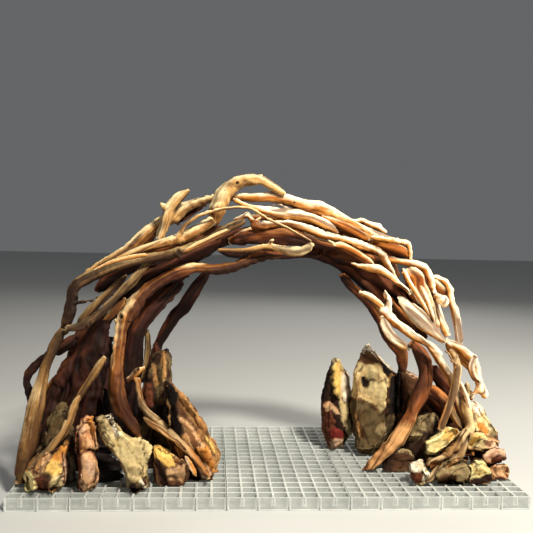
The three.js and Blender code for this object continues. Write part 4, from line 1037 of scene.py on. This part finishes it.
class Graph:
    """Short names for the shader nodes of one material."""

    def __init__(self, name):
        self.material = bpy.data.materials.new(name)
        self.material.use_nodes = True
        self.nodes = self.material.node_tree.nodes
        self.links = self.material.node_tree.links
        self.surface = self.nodes["Principled BSDF"]

    def put(self, kind, values=(), **settings):
        made = self.nodes.new(kind)
        for key, value in settings.items():
            setattr(made, key, value)
        for key, value in dict(values).items():
            self.set(made.inputs[key], value)
        return made

    def set(self, socket, value):
        if isinstance(value, bpy.types.NodeSocket):
            self.links.new(value, socket)
        else:
            socket.default_value = value

    def label(self, name, vector=False):
        made = self.put("ShaderNodeAttribute", attribute_name=name)
        return made.outputs["Vector" if vector else "Fac"]

    def place(self):
        return self.put("ShaderNodeTexCoord").outputs["Object"]

    def stretch(self, vector, scale, shift=0.0):
        values = {"Vector": vector, "Scale": scale, "Location": (shift,) * 3}
        return self.put("ShaderNodeMapping", values).outputs[0]

    def noise(self, vector, scale=1.0, detail=4.0, rough=0.55, warp=0.0):
        values = {"Vector": vector, "Scale": scale, "Detail": detail, "Roughness": rough, "Distortion": warp}
        return self.put("ShaderNodeTexNoise", values).outputs["Fac"]

    def cells(self, vector):
        return self.put("ShaderNodeTexVoronoi", {"Vector": vector, "Scale": 1}).outputs[0]

    def distance_from_axis(self, vector):
        flat = self.stretch(vector, (1, 1, 0))
        return self.put("ShaderNodeVectorMath", {0: flat}, operation="LENGTH").outputs["Value"]

    def span(self, value, low, high, to_low=0.0, to_high=1.0):
        """The value's place between low and high, as a number between the other two."""
        values = {"Value": value, "From Min": low, "From Max": high, "To Min": to_low, "To Max": to_high}
        return self.put("ShaderNodeMapRange", values).outputs[0]

    def math(self, operation, a, b=0.0):
        return self.put("ShaderNodeMath", {0: a, 1: b}, operation=operation).outputs[0]

    def mix(self, share, a, b, blend="MIX"):
        made = self.put("ShaderNodeMix", data_type="RGBA", blend_type=blend)
        for socket, value in zip((made.inputs[0], made.inputs[6], made.inputs[7]), (share, a, b)):
            self.set(socket, value)
        return made.outputs[2]

    def stained(self, tone, share, stain):
        """The tone, multiplied by the stain where the share says so."""
        return self.mix(share, tone, self.mix(1.0, tone, stain, "MULTIPLY"))

    def shaded_where_crowded(self, tone, reach, low, high, stain):
        """The tone, darkened with painted shade where other surfaces close in within that reach."""
        open_air = self.put("ShaderNodeAmbientOcclusion", {"Distance": reach}, samples=6).outputs["AO"]
        return self.mix(self.span(open_air, low, high), self.mix(1.0, tone, stain, "MULTIPLY"), tone)

    def bump(self, height, strength, distance, under=None):
        values = {"Height": height, "Strength": strength, "Distance": distance}
        if under:
            values["Normal"] = under
        return self.put("ShaderNodeBump", values).outputs[0]

    def finish(self, **values):
        for key, value in values.items():
            self.set(self.surface.inputs[key.replace("_", " ")], value)
        return self.material


# Growth rings on an end, in radians per metre
RING_PITCH = 5200.0

# Tones that every wood and every stone share
# painted shade: the darkest tone, for the most shadowed stretches of wood
DEEPEST_WOOD_SHADE = colour("140804")
KNOT_EYE = colour("22100a")
STONE_GLINT = colour("fbf2d8")
STONE_CREVICE_SHADE = colour("2c1a10")
STONE_STREAK, STONE_SPECK, STONE_SHADE = colour("94745a"), colour("7a5a44"), colour("5c3c28")


def wood_material(name, pale, body, deep, shade):
    """Bare weathered wood: streaks down the grain, tops painted pale with painted light and some bleaching,
    painted shade in the furrows and on faces turned from the light, dark knots, ringed cut ends.
    """
    g = Graph(name)
    pale, body, deep, shade = (colour(code) for code in (pale, body, deep, shade))
    grain = g.label("grain", vector=True)
    streaks = g.noise(g.stretch(grain, (420, 420, 18)), 1, 5, 0.62)
    bands = g.noise(g.stretch(grain, (120, 120, 7), 3), 1, 4, 0.55, 0.4)
    hairs = g.noise(g.stretch(grain, (1500, 1500, 45), 5), 1, 3, 0.6)
    blotches = g.noise(g.place(), 30, 5, 0.62, 0.4)
    stains = g.noise(g.place(), 75, 5, 0.65, 0.3)
    wear_and_light, knot, cut, groove = (g.label(n) for n in ("wear_and_light", "knot", "cut", "groove"))
    tone = g.mix(g.span(bands, 0.44, 0.58), body, deep)
    tone = g.mix(g.span(blotches, 0.54, 0.62, 0, 0.55), tone, shade)
    bleach_and_light = g.math("ADD", wear_and_light, g.span(stains, 0.3, 0.7, -0.1, 0.1))
    bleach_and_light = g.math("ADD", bleach_and_light, g.span(streaks, 0.3, 0.7, -0.16, 0.16))
    # painted highlight: the pale tone where the wear and light value is high
    tone = g.mix(g.span(bleach_and_light, 0.45, 0.85), tone, pale)
    tone = g.mix(g.span(streaks, 0.54, 0.66, 0, 0.5), tone, deep)
    # painted shade: the shaded tone, then the darkest one, where the value is low
    tone = g.mix(g.span(bleach_and_light, 0.3, -0.3, 0, 0.85), tone, shade)
    tone = g.mix(g.span(bleach_and_light, -0.35, -0.8, 0, 0.75), tone, DEEPEST_WOOD_SHADE)
    # painted shade in the furrows
    tone = g.mix(g.span(groove, 0.5, 0.85, 0, 0.8), tone, shade)
    tone = g.mix(g.span(hairs, 0.5, 0.7, 0, 0.28), tone, shade)
    rings = g.math("SINE", g.math("MULTIPLY", g.distance_from_axis(grain), RING_PITCH))
    tone = g.mix(cut, tone, g.mix(g.span(rings, -0.4, 1.0, 0, 0.55), pale, deep))
    tone = g.mix(g.span(knot, 0.25, 0.8, 0, 0.92), tone, KNOT_EYE)
    # painted shade where other surfaces close in
    tone = g.shaded_where_crowded(tone, 9 * MM, 0.15, 0.75, shade)
    relief = g.math("ADD", g.math("MULTIPLY", streaks, 0.7), g.math("MULTIPLY", hairs, 0.5))
    pores = g.span(g.cells(g.stretch(grain, (700, 700, 120))), 0.1, 0.35)
    normal = g.bump(pores, 0.18, 0.4 * MM, g.bump(relief, 0.55, 0.9 * MM))
    rough = g.span(streaks, 0.3, 0.75, 0.58, 0.85)
    return g.finish(Base_Color=tone, Roughness=rough, Normal=normal, Specular_IOR_Level=0.2)


def stone_material(name, vein):
    """Rough layered stone: its broken faces in their own tones, warm veins, speckles, painted shade in its
    cracks and pits, nearly black, and painted shade where surfaces close in.
    """
    g = Graph(name)
    vein = colour(vein)
    layer = g.label("layer", vector=True)
    groove = g.label("groove")
    tone = g.label("tone", vector=True)
    streaks = g.noise(g.stretch(layer, (300, 110, 30)), 1, 6, 0.65, 0.5)
    patches = g.noise(g.place(), 90, 5, 0.65, 0.6)
    veins = g.noise(g.stretch(layer, (110, 80, 26), 4), 1, 5, 0.6, 0.8)
    specks = g.noise(g.place(), 420, 4, 0.7)
    grit = g.noise(g.place(), 1300, 3, 0.6)
    pale = g.mix(g.span(grit, 0.42, 0.2, 0, 0.5), tone, STONE_GLINT, "SOFT_LIGHT")
    tone = g.mix(g.span(patches, 0.45, 0.7, 0, 0.6), pale, g.mix(1.0, tone, vein, "MULTIPLY"))
    tone = g.stained(tone, g.span(veins, 0.56, 0.68, 0, 0.55), vein)
    tone = g.stained(tone, g.span(streaks, 0.54, 0.72, 0, 0.6), STONE_STREAK)
    tone = g.stained(tone, g.span(specks, 0.56, 0.68, 0, 0.55), STONE_SPECK)
    # painted shade in the pits and cracks
    tone = g.mix(g.span(groove, 0.55, 1.0, 0, 0.75), tone, STONE_CREVICE_SHADE)
    # painted shade where other surfaces close in
    tone = g.shaded_where_crowded(tone, 8 * MM, 0.0, 0.5, STONE_SHADE)
    relief = g.math("ADD", g.math("MULTIPLY", specks, 0.8), g.math("MULTIPLY", grit, 0.4))
    normal = g.bump(g.math("ADD", relief, streaks), 0.8, 1.2 * MM)
    rough = g.span(specks, 0.3, 0.7, 0.78, 0.97)
    return g.finish(Base_Color=tone, Roughness=rough, Normal=normal, Specular_IOR_Level=0.2)


def plastic_material(name, alpha, low, high):
    """Milky moulded plastic with fine scratches and a dusty bloom."""
    g = Graph(name)
    cloud = g.noise(g.place(), 45, 4, 0.6)
    scratch = g.noise(g.stretch(g.place(), (900, 60, 300)), 1, 4, 0.6)
    tone = g.mix(g.span(cloud, 0.3, 0.7), colour(high), colour(low))
    rough = g.span(scratch, 0.3, 0.7, 0.12, 0.36)
    normal = g.bump(scratch, 0.1, 0.3 * MM)
    return g.finish(
        Base_Color=tone, Roughness=rough, Normal=normal, IOR=1.46, Alpha=alpha, Specular_IOR_Level=0.6
    )


# Pale tone (bleached, and painted highlight), body, deep and painted-shade tone of each wood
WOOD_TONES = {
    "honey": ("ecca94", "b87c3e", "7e481a", "381608"),
    "tan": ("dcbc88", "997140", "603f20", "2c190c"),
    "olive": ("a08458", "6a4a28", "422a14", "1e0f07"),
    "brown": ("b8753c", "6e3812", "441c08", "200a03"),
    "dark": ("66361c", "38160a", "240c05", "120502"),
    "grey": ("b0946a", "775a34", "4e331b", "28170b"),
    "pale": ("fff2d0", "dd9a4c", "b0661f", "5e2a0c"),
    "orange": ("fae6b8", "c8752a", "904812", "421804"),
    "straw": ("f4dca8", "cc9e60", "905e2c", "40200c"),
    # painted shade: near-black wood for pieces that stand for the shade between the others
    "shadow_fill": ("2c1810", "180b06", "110704", "080302"),
    "rusty": ("dca468", "96562a", "683616", "301409"),
}
WOODS = {name: wood_material(name + " wood", *tones) for name, tones in WOOD_TONES.items()}

VEINS = {"cream": "d8c090", "ochre": "d2a468", "yellow": "e6b46a", "peach": "d69a78", "umber": "c8a88a"}
STONES = {name: stone_material(name + " stone", vein) for name, vein in VEINS.items()}

# The rims are paler than the walls, partly a painted highlight on the top edges; the walls are also more
# see-through
RIM = plastic_material("milky rims", 0.82, "c2c6c1", "e0e3de")
WALL = plastic_material("clear walls", 0.5, "aeb2ae", "c8ccc8")


# Limbs that lie between, before and behind the solid ones: name, wood, depth from end to end, and stations of
# x, z and radius on the middle plane, in millimetres. Limbs in the near-black wood stand only for shade, and
# the dark wood of the others is partly painted shade.
FILL_LIMBS = [
    ("fill_under_shoulder", "dark", (12, 18), [
        (-138, 228, 7), (-110, 237, 8), (-85, 247, 8), (-62, 256, 8), (-40, 262, 8), (-15, 268, 8),
        (12, 267, 8),
    ]),
    ("fill_behind_shoulder", "brown", (8, 4), [
        (-150, 240, 5), (-120, 249, 6), (-92, 258, 6), (-68, 267, 6), (-48, 273, 4),
    ]),
    ("fill_back_crown", "brown", (22, 26), [(-104, 276, 4), (-92, 288, 6), (-82, 295, 5.4), (-72, 300, 4)]),
    ("fill_red_face", "orange", (6, 12), [
        (-44, 257, 6), (-20, 264, 8), (5, 268, 9), (30, 266, 9), (55, 258, 9), (80, 250, 8), (104, 243, 7),
    ]),
    ("fill_twisted_under", "dark", (-12, 6), [
        (-57, 248, 3), (-45, 243, 3.5), (-30, 242, 3.5), (-14, 246, 4), (2, 246, 5), (22, 245, 5),
        (42, 246, 5), (60, 244, 6),
    ]),
    ("under_hook_stub", "brown", (-26, -20), [
        (-22.5, 241, 2.7), (-12, 243, 3.1), (0, 244.6, 3.1), (16, 244, 2.6),
    ]),
    ("fill_second_shade", "orange", (14, 20), [
        (-22, 284, 4), (0, 288, 6), (22, 285, 7), (44, 280, 7), (64, 272, 6), (84, 266, 5),
    ]),
    ("fill_ridge_shade", "orange", (8, 12, 10, 0), [
        (26, 296, 6), (52, 291, 8), (78, 281, 9), (100, 272, 8), (118, 266, 7), (136, 260, 8),
        (150, 255, 7.4), (158, 245, 5),
    ]),
    ("fill_brown_band", "brown", (14, 20), [
        (40, 263, 6), (68, 259, 7), (94, 252, 8), (118, 244, 8), (138, 234, 7), (150, 222, 5),
    ]),
    ("fill_dark_mass", "dark", (6, 10), [
        (96, 232, 6), (118, 222, 8), (136, 211, 9), (150, 201, 9), (163, 190, 8), (172, 177, 6),
    ]),
    ("fill_red_strand", "brown", (0, 8), [
        (136, 200, 4), (144, 188, 7), (153, 176, 8), (163, 165, 7), (176, 155, 5),
    ]),
    ("fill_fan_web", "orange", (6, 10), [
        (157, 224, 5), (167, 212, 9), (176, 198, 9), (184, 184, 7), (190, 170, 6), (197, 157, 5),
    ]),
    ("fill_loop_web", "orange", (4, 8), [(184, 226, 4), (192, 216, 7), (200, 208, 6), (207, 202, 4)]),
    ("ball_end", "pale", (-32, -36), [(197, 197, 4.4), (200, 195, 6.2), (204, 192, 6.2), (207, 189, 4.4)]),
    ("fill_left_strand", "dark", (8, 14), [
        (-182, 163, 4), (-166, 178, 6), (-150, 191, 7), (-131, 204, 7), (-111, 214, 7), (-90, 222, 6),
    ]),
    ("fill_left_upper", "dark", (14, 18), [
        (-172, 192, 5), (-150, 208, 8), (-126, 220, 8), (-100, 231, 7), (-76, 240, 6),
    ]),
    ("fill_arch_inner", "dark", (4, 10), [
        (-154, 148, 8), (-143, 168, 9), (-131, 183, 9), (-116, 197, 8), (-103, 206, 6),
    ]),
    ("fill_back_leg_one", "dark", (16, 6, -4, -10, -16), [
        (-152, 172, 8), (-156, 140, 11), (-157, 105, 12), (-156, 70, 13), (-153, 38, 13), (-150, 12, 11),
    ]),
    ("fill_back_leg_two", "dark", (26, 12, 0, -6, -12), [
        (-176, 150, 8), (-182, 115, 11), (-185, 80, 13), (-182, 45, 13), (-178, 14, 11),
    ]),
    ("fill_back_leg_three", "brown", (-30, -40, -50, -52), [
        (-228, 108, 6), (-238, 84, 8), (-243, 56, 9), (-246, 28, 9), (-248, 4, 8),
    ]),
    ("fill_right_mass", "brown", (6, 2, -4), [
        (176, 100, 7), (188, 90, 10), (201, 80, 11), (212, 66, 9), (218, 50, 6),
    ]),
    ("fill_right_shade", "dark", (10, 4, -8), [
        (192, 118, 7), (205, 100, 9), (220, 84, 9), (231, 64, 8), (236, 44, 6),
    ]),
    ("splinter_one", "pale", (-40, -44), [(217, 99, 2.2), (222, 82, 2.8), (228, 64, 2.8), (233, 47, 2.2)]),
    ("splinter_two", "honey", (-46, -50), [(212, 74, 2.8), (220, 60, 3.4), (227, 50, 3.2), (234, 42, 2.4)]),
    ("splinter_three", "pale", (-52, -56), [(225, 101, 1.8), (231, 89, 2.5), (236, 75, 2.6), (239, 60, 2)]),
    ("fork_strand", "honey", (-50, -54), [
        (-184, 165, 2.4), (-175, 173, 4), (-166, 183, 4.6), (-159, 192, 3),
    ]),
    ("pale_leg_foot", "honey", (-62, -84, -94, -97), [
        (-122, 54, 4.6), (-112, 46, 4.8), (-101, 35, 5), (-90, 24, 5), (-80, 12, 4.6), (-71, 0, 4.2),
        (-63, -13, 3.4),
    ]),
    ("thin_front_foot", "tan", (-84, -98, -112, -119, -124), [
        (-207, 85, 3), (-214, 70, 4.6), (-222, 50, 5.4), (-231, 33, 5.8), (-242, 17, 5.8), (-252, 5, 5.4),
        (-261, -5, 5), (-268, -13, 3.6),
    ]),
    ("second_front_root", "honey", (-74, -96, -112), [
        (-137, 58, 2.2), (-128, 50, 3.2), (-117, 43, 3), (-108, 35, 2.4), (-98, 29, 2.2), (-88, 20, 1.6),
    ]),
    ("edge_root", "pale", (-100, -112, -112), [(-90, 13, 2), (-85, 6, 2.6), (-80, -3, 2.6), (-77, -10, 1.8)]),
    ("shoulder_bridge", "olive", (-70, -71), [
        (-220, 170, 5), (-223, 163, 5.6), (-226, 156, 5.6), (-230, 148, 5),
    ]),
    ("dark_foot", "shadow_fill", (-62, -56), [
        (-206, 8, 9), (-194, 5, 11), (-180, 4, 11), (-166, 2, 9), (-158, -2, 7),
    ]),
    ("dark_shin", "shadow_fill", (-42, -30), [(-200, 34, 9), (-186, 28, 12), (-172, 28, 12), (-160, 24, 9)]),
    ("mid_web", "dark", (4, 8), [(62, 248, 6), (84, 244, 9), (106, 237, 9), (126, 227, 8), (142, 216, 6)]),
    ("crook_web", "dark", (-52, -56), [(-210, 149, 4), (-219, 141, 6), (-230, 134, 6), (-241, 126, 4)]),
    ("trunk_edge", "dark", (-46, -50), [(-221, 108, 4), (-224, 92, 6), (-228, 74, 6), (-232, 56, 5)]),
    ("hollow_behind", "shadow_fill", (-26, -30), [(-180, 90, 5), (-175, 74, 7), (-169, 60, 7), (-160, 46, 5)]),
    ("arch_back", "dark", (6, 2), [
        (-141, 164, 4), (-143, 148, 6), (-144, 130, 6.4), (-145, 110, 6), (-146, 92, 5),
    ]),
    ("stick_neighbour", "dark", (8, 6), [
        (-126, 142, 3), (-124, 132, 4.6), (-126, 122, 5), (-130, 106, 5), (-133, 90, 4),
    ]),
    ("pale_crossing", "pale", (-40, -44), [(196, 130, 2.6), (206, 115, 4), (216, 101, 4.2), (226, 90, 3)]),
    ("pale_web", "pale", (-44, -46), [(214, 104, 2.4), (224, 98, 3.4), (234, 91, 3.4), (243, 86, 2.2)]),
    ("dark_toe", "shadow_fill", (-88, -88), [(-206, -6, 7), (-190, -7, 9), (-174, -8, 9), (-160, -12, 6)]),
    ("shade_behind_leg", "dark", (10, 8), [(182, 88, 6), (191, 76, 9), (200, 64, 9), (206, 54, 7)]),
    ("shade_over_rock", "dark", (0, -4), [(200, 46, 5), (212, 50, 7), (226, 49, 7), (238, 46, 5)]),
    ("shade_by_slab", "shadow_fill", (22, 20), [(150, 80, 5), (149, 62, 7), (148, 44, 7), (146, 28, 5)]),
    ("corner_cap", "pale", (-8, -6, -4), [
        (116, 266, 2.4), (132, 264, 3), (148, 262, 3.2), (159, 259, 3.4), (162, 250, 3.2), (163, 239, 2.6),
    ]),
    ("shoulder_crest", "honey", (-76, -66), [
        (-196, 221, 1.4), (-184, 227, 2.2), (-170, 233, 2.8), (-154, 237.4, 3), (-141, 240, 2.6),
        (-133, 240.5, 1.4),
    ]),
    ("shoulder_light", "honey", (-58, -50, -46), [
        (-98, 244, 2.6), (-86, 250, 3.2), (-72, 257, 3.2), (-58, 264, 3), (-44, 271, 2),
    ]),
    ("back_web", "brown", (8, 14), [(-160, 240, 4), (-147, 250, 7), (-135, 259, 7), (-124, 267, 5)]),
    ("ridge_face", "orange", (-6, -8), [
        (60, 288, 3.4), (74, 282, 5), (88, 276, 5.4), (102, 269, 5), (115, 263, 3),
    ]),
    ("corner_face", "orange", (-2, -4), [
        (117, 261, 4), (131, 257, 6), (146, 253, 6.6), (156, 248, 6), (161, 241, 3),
    ]),
    ("mid_bump", "orange", (-24, -22), [
        (72, 256, 3), (84, 255, 4), (97, 248, 4.6), (109, 241, 4.4), (122, 233, 3),
    ]),
    ("fan_rim", "pale", (-24, -28), [
        (155, 231, 1.8), (161, 217, 2.2), (169, 205, 2.2), (179, 191, 2.2), (190, 174, 2),
    ]),
    ("fan_strand", "pale", (-26, -30), [(176, 211, 2), (182, 198, 2.6), (188, 184, 2.6), (193, 170, 2.4)]),
    ("arch_strand", "pale", (-16, -20), [(104, 203, 3.4), (117, 197, 4), (128, 189, 4.6), (134, 180, 4.6)]),
    ("arch_slab", "pale", (-20, -24), [
        (133, 176, 4), (136, 165, 4.6), (143, 154, 5), (153, 146, 5), (166, 139, 4),
    ]),
    ("base_shade", "brown", (-58, -62), [(192, 4, 5), (206, 7, 6), (222, 8, 6), (238, 10, 5)]),
    ("base_knee", "brown", (-60, -66), [
        (190, 30, 5), (204, 24, 8), (218, 24, 9), (232, 22, 8), (244, 14, 6),
    ]),
    ("gnarled_spur", "pale", (-60, -64), [(243, 131, 4), (238, 119, 4), (242, 107, 4.4), (250, 99, 4)]),
]

ROUTE_STEPS = 6
TUBE_SIDES = 10


def smooth_route(stations):
    """A rounded line through the stations."""
    padded = np.vstack([2 * stations[0] - stations[1], stations, 2 * stations[-1] - stations[-2]])
    out = []
    for k in range(1, len(padded) - 2):
        a, b, c, d = padded[k - 1 : k + 3]
        for t in np.arange(ROUTE_STEPS) / ROUTE_STEPS:
            bend = 2 * a - 5 * b + 4 * c - d + t * (3 * b - 3 * c + d - a)
            out.append(b + t / 2 * (c - a + t * bend))
    return np.array(out + [stations[-1]])


def tube(line):
    """A closed tube round a line whose fourth column is the radius."""
    points, radii = line[:, :3], line[:, 3]
    heading = unit(np.gradient(points, axis=0))
    side = unit(np.cross(heading[0], ANY_SIDE))
    angles = np.arange(TUBE_SIDES) * 2 * math.pi / TUBE_SIDES
    rings = []
    for point, radius, ahead in zip(points, radii, heading):
        side = unit(side - ahead * (side @ ahead))
        turned = np.cross(ahead, side)
        rings.append(point + radius * (np.outer(np.cos(angles), side) + np.outer(np.sin(angles), turned)))
    corners = np.vstack(rings)
    last = len(corners) - TUBE_SIDES
    faces = [tuple(range(TUBE_SIDES))[::-1], tuple(range(last, len(corners)))]
    for start in range(0, last, TUBE_SIDES):
        for j in range(TUBE_SIDES):
            a, b = start + j, start + (j + 1) % TUBE_SIDES
            faces.append((a, b, b + TUBE_SIDES, a + TUBE_SIDES))
    mesh = bpy.data.meshes.new("tube")
    mesh.from_pydata(corners.tolist(), [], faces)
    return mesh


def fill_limb(name, wood, depths, stations, seed):
    """A limb with no solid of its own, from its stations as seen from the eye."""
    depth = np.interp(np.linspace(0, 1, len(stations)), np.linspace(0, 1, len(depths)), depths)
    line = []
    for (x, z, radius), y in zip(stations, depth):
        share = (y * MM - EYE[1]) / -EYE[1]
        line.append([*sight_line(x, z, y), radius * MM * share])
    mesh = tube(smooth_route(np.array(line)))
    thick = max(radius for x, z, radius in stations) > THICK_TUBE
    voxel, softness = (COARSE_VOXEL, THICK_SOFTNESS) if thick else (FINE_VOXEL, THIN_SOFTNESS)
    return dress_limb(name, mesh, voxel, softness, WOODS[wood], seed)


# Plate

def rib_lines(low, high, count):
    """The lines between low and high where ribs begin and end, and what follows each: deep, minor or None."""
    lines, kinds = [], []
    half = RIB_WIDTH / 2
    for k in range(count):
        middle = (k - (count - 1) / 2) * RIB_PITCH
        if middle + half < low - TINY or middle - half > high + TINY:
            continue
        start, end = max(middle - half, low), min(middle + half, high)
        if not lines and start - low > LEAST_GAP:
            lines.append(low)
            kinds.append(None)
        lines += [start, end]
        kinds += ["minor" if k % 2 else "deep", None]
    if high - lines[-1] > LEAST_GAP:
        lines.append(high)
    else:
        kinds.pop()
        lines[-1] = high
    return lines, kinds


def window_panes(shape, xs, x_kinds, ys, y_kinds):
    """The outer wall's faces between the deep ribs, round the short ends of the minor ribs."""
    edge_x, edge_y = PLATE_EDGE
    panes = []
    for face in shape.faces:
        middle = face.calc_center_median()
        if abs(face.normal.y) > SQUARE_ON and abs(abs(middle.y) - edge_y) < EDGE_SLACK:
            lines, kinds, at = xs, x_kinds, middle.x
        elif abs(face.normal.x) > SQUARE_ON and abs(abs(middle.x) - edge_x) < EDGE_SLACK:
            lines, kinds, at = ys, y_kinds, middle.y
        else:
            continue
        strip = max(k for k in range(len(kinds)) if lines[k] <= at)
        if kinds[strip] is None or kinds[strip] == "minor" and middle.z < MINOR_RIB_FOOT:
            panes.append(face)
    return panes


def grid_shape(xs, x_kinds, ys, y_kinds):
    """The ribs as a single closed skin."""
    shape = bmesh.new()
    known = {}

    def corner(*at):
        key = tuple(round(value * 1e6) for value in at)
        if key not in known:
            known[key] = shape.verts.new(at)
        return known[key]

    def foot(i, j):
        """The height of the underside of one strip crossing, or None where the grid is open."""
        if not (0 <= i < len(x_kinds) and 0 <= j < len(y_kinds)):
            return None
        kinds = {x_kinds[i], y_kinds[j]}
        if "deep" in kinds:
            return 0.0
        return MINOR_RIB_FOOT if "minor" in kinds else None

    def wall(x0, y0, x1, y1, z0, z1):
        if z1 - z0 > TINY:
            shape.faces.new([corner(x0, y0, z0), corner(x1, y1, z0), corner(x1, y1, z1), corner(x0, y0, z1)])

    for i, j in np.ndindex(len(x_kinds), len(y_kinds)):
        base = foot(i, j)
        if base is None:
            continue
        x0, x1, y0, y1 = xs[i], xs[i + 1], ys[j], ys[j + 1]
        for z, turn in ((PLATE_TOP, 1), (base, -1)):
            ring = [corner(x0, y0, z), corner(x1, y0, z), corner(x1, y1, z), corner(x0, y1, z)]
            shape.faces.new(ring[::turn])
        for beside, line in (
            (foot(i, j - 1), (x0, y0, x1, y0)),
            (foot(i + 1, j), (x1, y0, x1, y1)),
            (foot(i, j + 1), (x1, y1, x0, y1)),
            (foot(i - 1, j), (x0, y1, x0, y0)),
        ):
            if beside is None:
                wall(*line, base, MINOR_RIB_FOOT)
                wall(*line, MINOR_RIB_FOOT, PLATE_TOP)
            else:
                wall(*line, base, beside)
    bmesh.ops.recalc_face_normals(shape, faces=shape.faces)
    return shape


def grid_panel(name, low, high):
    """One panel of ribs, with its outer windows set in and its edges rounded."""
    xs, x_kinds = rib_lines(low.x, high.x, RIB_COUNT_X)
    ys, y_kinds = rib_lines(low.y, high.y, RIB_COUNT_Y)
    shape = grid_shape(xs, x_kinds, ys, y_kinds)
    panes = window_panes(shape, xs, x_kinds, ys, y_kinds)
    bmesh.ops.inset_region(
        shape, faces=panes, thickness=WINDOW_FRAME, depth=-WINDOW_DEPTH, use_even_offset=True
    )
    sharp = [e for e in shape.edges if len(e.link_faces) == 2 and e.calc_face_angle(0) > SHARP_ANGLE]
    bmesh.ops.bevel(
        shape, geom=sharp, offset=RIB_BEVEL, segments=2, affect="EDGES", profile=0.6, clamp_overlap=True
    )
    # upright walls take the darker material and the rims and bevels the paler one, partly painted light
    for face in shape.faces:
        upright = abs(face.normal.z) < SIDEWAYS
        face.material_index = int(upright and face.calc_area() > LEAST_WALL)
    mesh = bpy.data.meshes.new(name)
    shape.to_mesh(mesh)
    shape.free()
    piece = linked(name + "_grid", mesh)
    mesh.polygons.foreach_set("use_smooth", np.ones(len(mesh.polygons), bool))
    mesh.materials.append(RIM)
    mesh.materials.append(WALL)
    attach(piece, "root")
    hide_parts(name)
    return piece


# The object

# Limbs whose wood differs from the rest of their kind
TONED = {
    "olive": {"shoulder_limb", "olive_back_limb"},
    "tan": {"outer_left_leg", "thin_left_front_limb", "right_low_limb"},
    "brown": {"inner_leg_limb"},
    # the trunk's dark wood is partly painted shade
    "dark": {"broad_trunk"},
    "rusty": {"front_big_leg"},
    "straw": {"hook_limb", "crown_loop", "antler_limb", "back_left_limb", "upper_left_limb"},
    "orange": {"fan_limb"},
    "pale": {"torn_slab_limb", "outer_loop_limb"},
}


def wood_of(node, family):
    """The wood of a solid limb."""
    return WOODS[next((wood for wood, limbs in TONED.items() if node in limbs), family)]


def net_size(node):
    """How fine the net of a solid limb is."""
    if node in FINE_LIMBS:
        return FINE_VOXEL
    return COARSE_VOXEL if node in COARSE_LIMBS else WOOD_VOXEL


for number, node in enumerate(sorted(frame["nodes"])):
    slot = SLOTS[node]
    family, _, kind = slot.rpartition("_")
    seed = number * SEED_STEP + SOLID_SEED
    if kind == "plastic":
        grid_panel(node, *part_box(node))
    elif kind == "stone":
        bark = 1.0 if node in BARK_LIKE else 0.0
        dress_rock(node + "_stone", node_mesh(node), slot, STONES[family], seed, node, bark)
    else:
        wood = wood_of(node, family)
        dress_limb(node + "_wood", node_mesh(node), net_size(node), SOLID_SOFTNESS, wood, seed, node)

for number, (name, wood, depths, stations) in enumerate(FILL_LIMBS):
    fill_limb(name, wood, depths, stations, FILL_SEED + number * SEED_STEP)


# Floor, light and camera

FLOOR_HALF = 9

# Lamps: name, place, where it points, width in metres, watts and tint
LAMPS = [
    ("key", (0.42, -1.02, 1.16), (0.02, 0, 0.15), 0.22, 35, (1.0, 0.94, 0.83)),
    ("rim", (1.3, -0.05, 0.8), (0.05, 0, 0.15), 0.3, 15, (1.0, 0.93, 0.8)),
    ("fill", (-1.6, -1.6, 0.9), (0, 0, 0.12), 1.6, 3.4, (1.0, 0.93, 0.84)),
    ("back", (0.5, 1.8, 1.3), (0, 0, 0.15), 1.2, 9, (1.0, 0.96, 0.9)),
]
SKY_COLOUR = (0.64, 0.66, 0.68, 1)
SKY_STRENGTH = 0.2


def floor_material():
    g = Graph("pale floor")
    tone = g.mix(g.noise(g.place(), 3, 3, 0.5), colour("b9bab8"), colour("bfc0be"))
    return g.finish(Base_Color=tone, Roughness=0.75)


def soft_light(name, place, target, size, watts, tint):
    data = bpy.data.lights.new(name, "AREA")
    data.shape = "DISK"
    data.size = size
    data.energy = watts
    data.color = tint
    lamp = linked(name, data)
    lamp.location = place
    lamp.rotation_euler = (Vector(target) - Vector(place)).to_track_quat("-Z", "Y").to_euler()


floor_mesh = bpy.data.meshes.new("floor")
floor_corners = [(x * FLOOR_HALF, y * FLOOR_HALF, 0) for x, y in ((-1, -1), (1, -1), (1, 1), (-1, 1))]
floor_mesh.from_pydata(floor_corners, [], [(0, 1, 2, 3)])
floor_mesh.materials.append(floor_material())
floor = linked("floor", floor_mesh)

for lamp_settings in LAMPS:
    soft_light(*lamp_settings)

world = bpy.data.worlds.new("studio")
bpy.context.scene.world = world
world.use_nodes = True
sky = world.node_tree.nodes["Background"].inputs
sky["Color"].default_value = SKY_COLOUR
sky["Strength"].default_value = SKY_STRENGTH
bpy.context.scene.view_settings.view_transform = "Standard"

camera_data = bpy.data.cameras.new("camera")
camera_data.lens = LENS_MM
camera_data.sensor_width = SENSOR_MM
camera_data.clip_start = NEAREST_SEEN
camera = linked("camera", camera_data)
bpy.context.scene.camera = camera
forward = Vector((math.sin(YAW) * math.cos(PITCH), math.cos(YAW) * math.cos(PITCH), -math.sin(PITCH)))
right = Vector((math.cos(YAW), -math.sin(YAW), 0))
above = right.cross(forward)
turned_right = right * math.cos(ROLL) + above * math.sin(ROLL)
turned_above = above * math.cos(ROLL) - right * math.sin(ROLL)
turn = Matrix((turned_right, turned_above, -forward)).transposed().to_4x4()
camera.matrix_world = Matrix.Translation(Vector(EYE)) @ turn

bpy.context.view_layer.update()
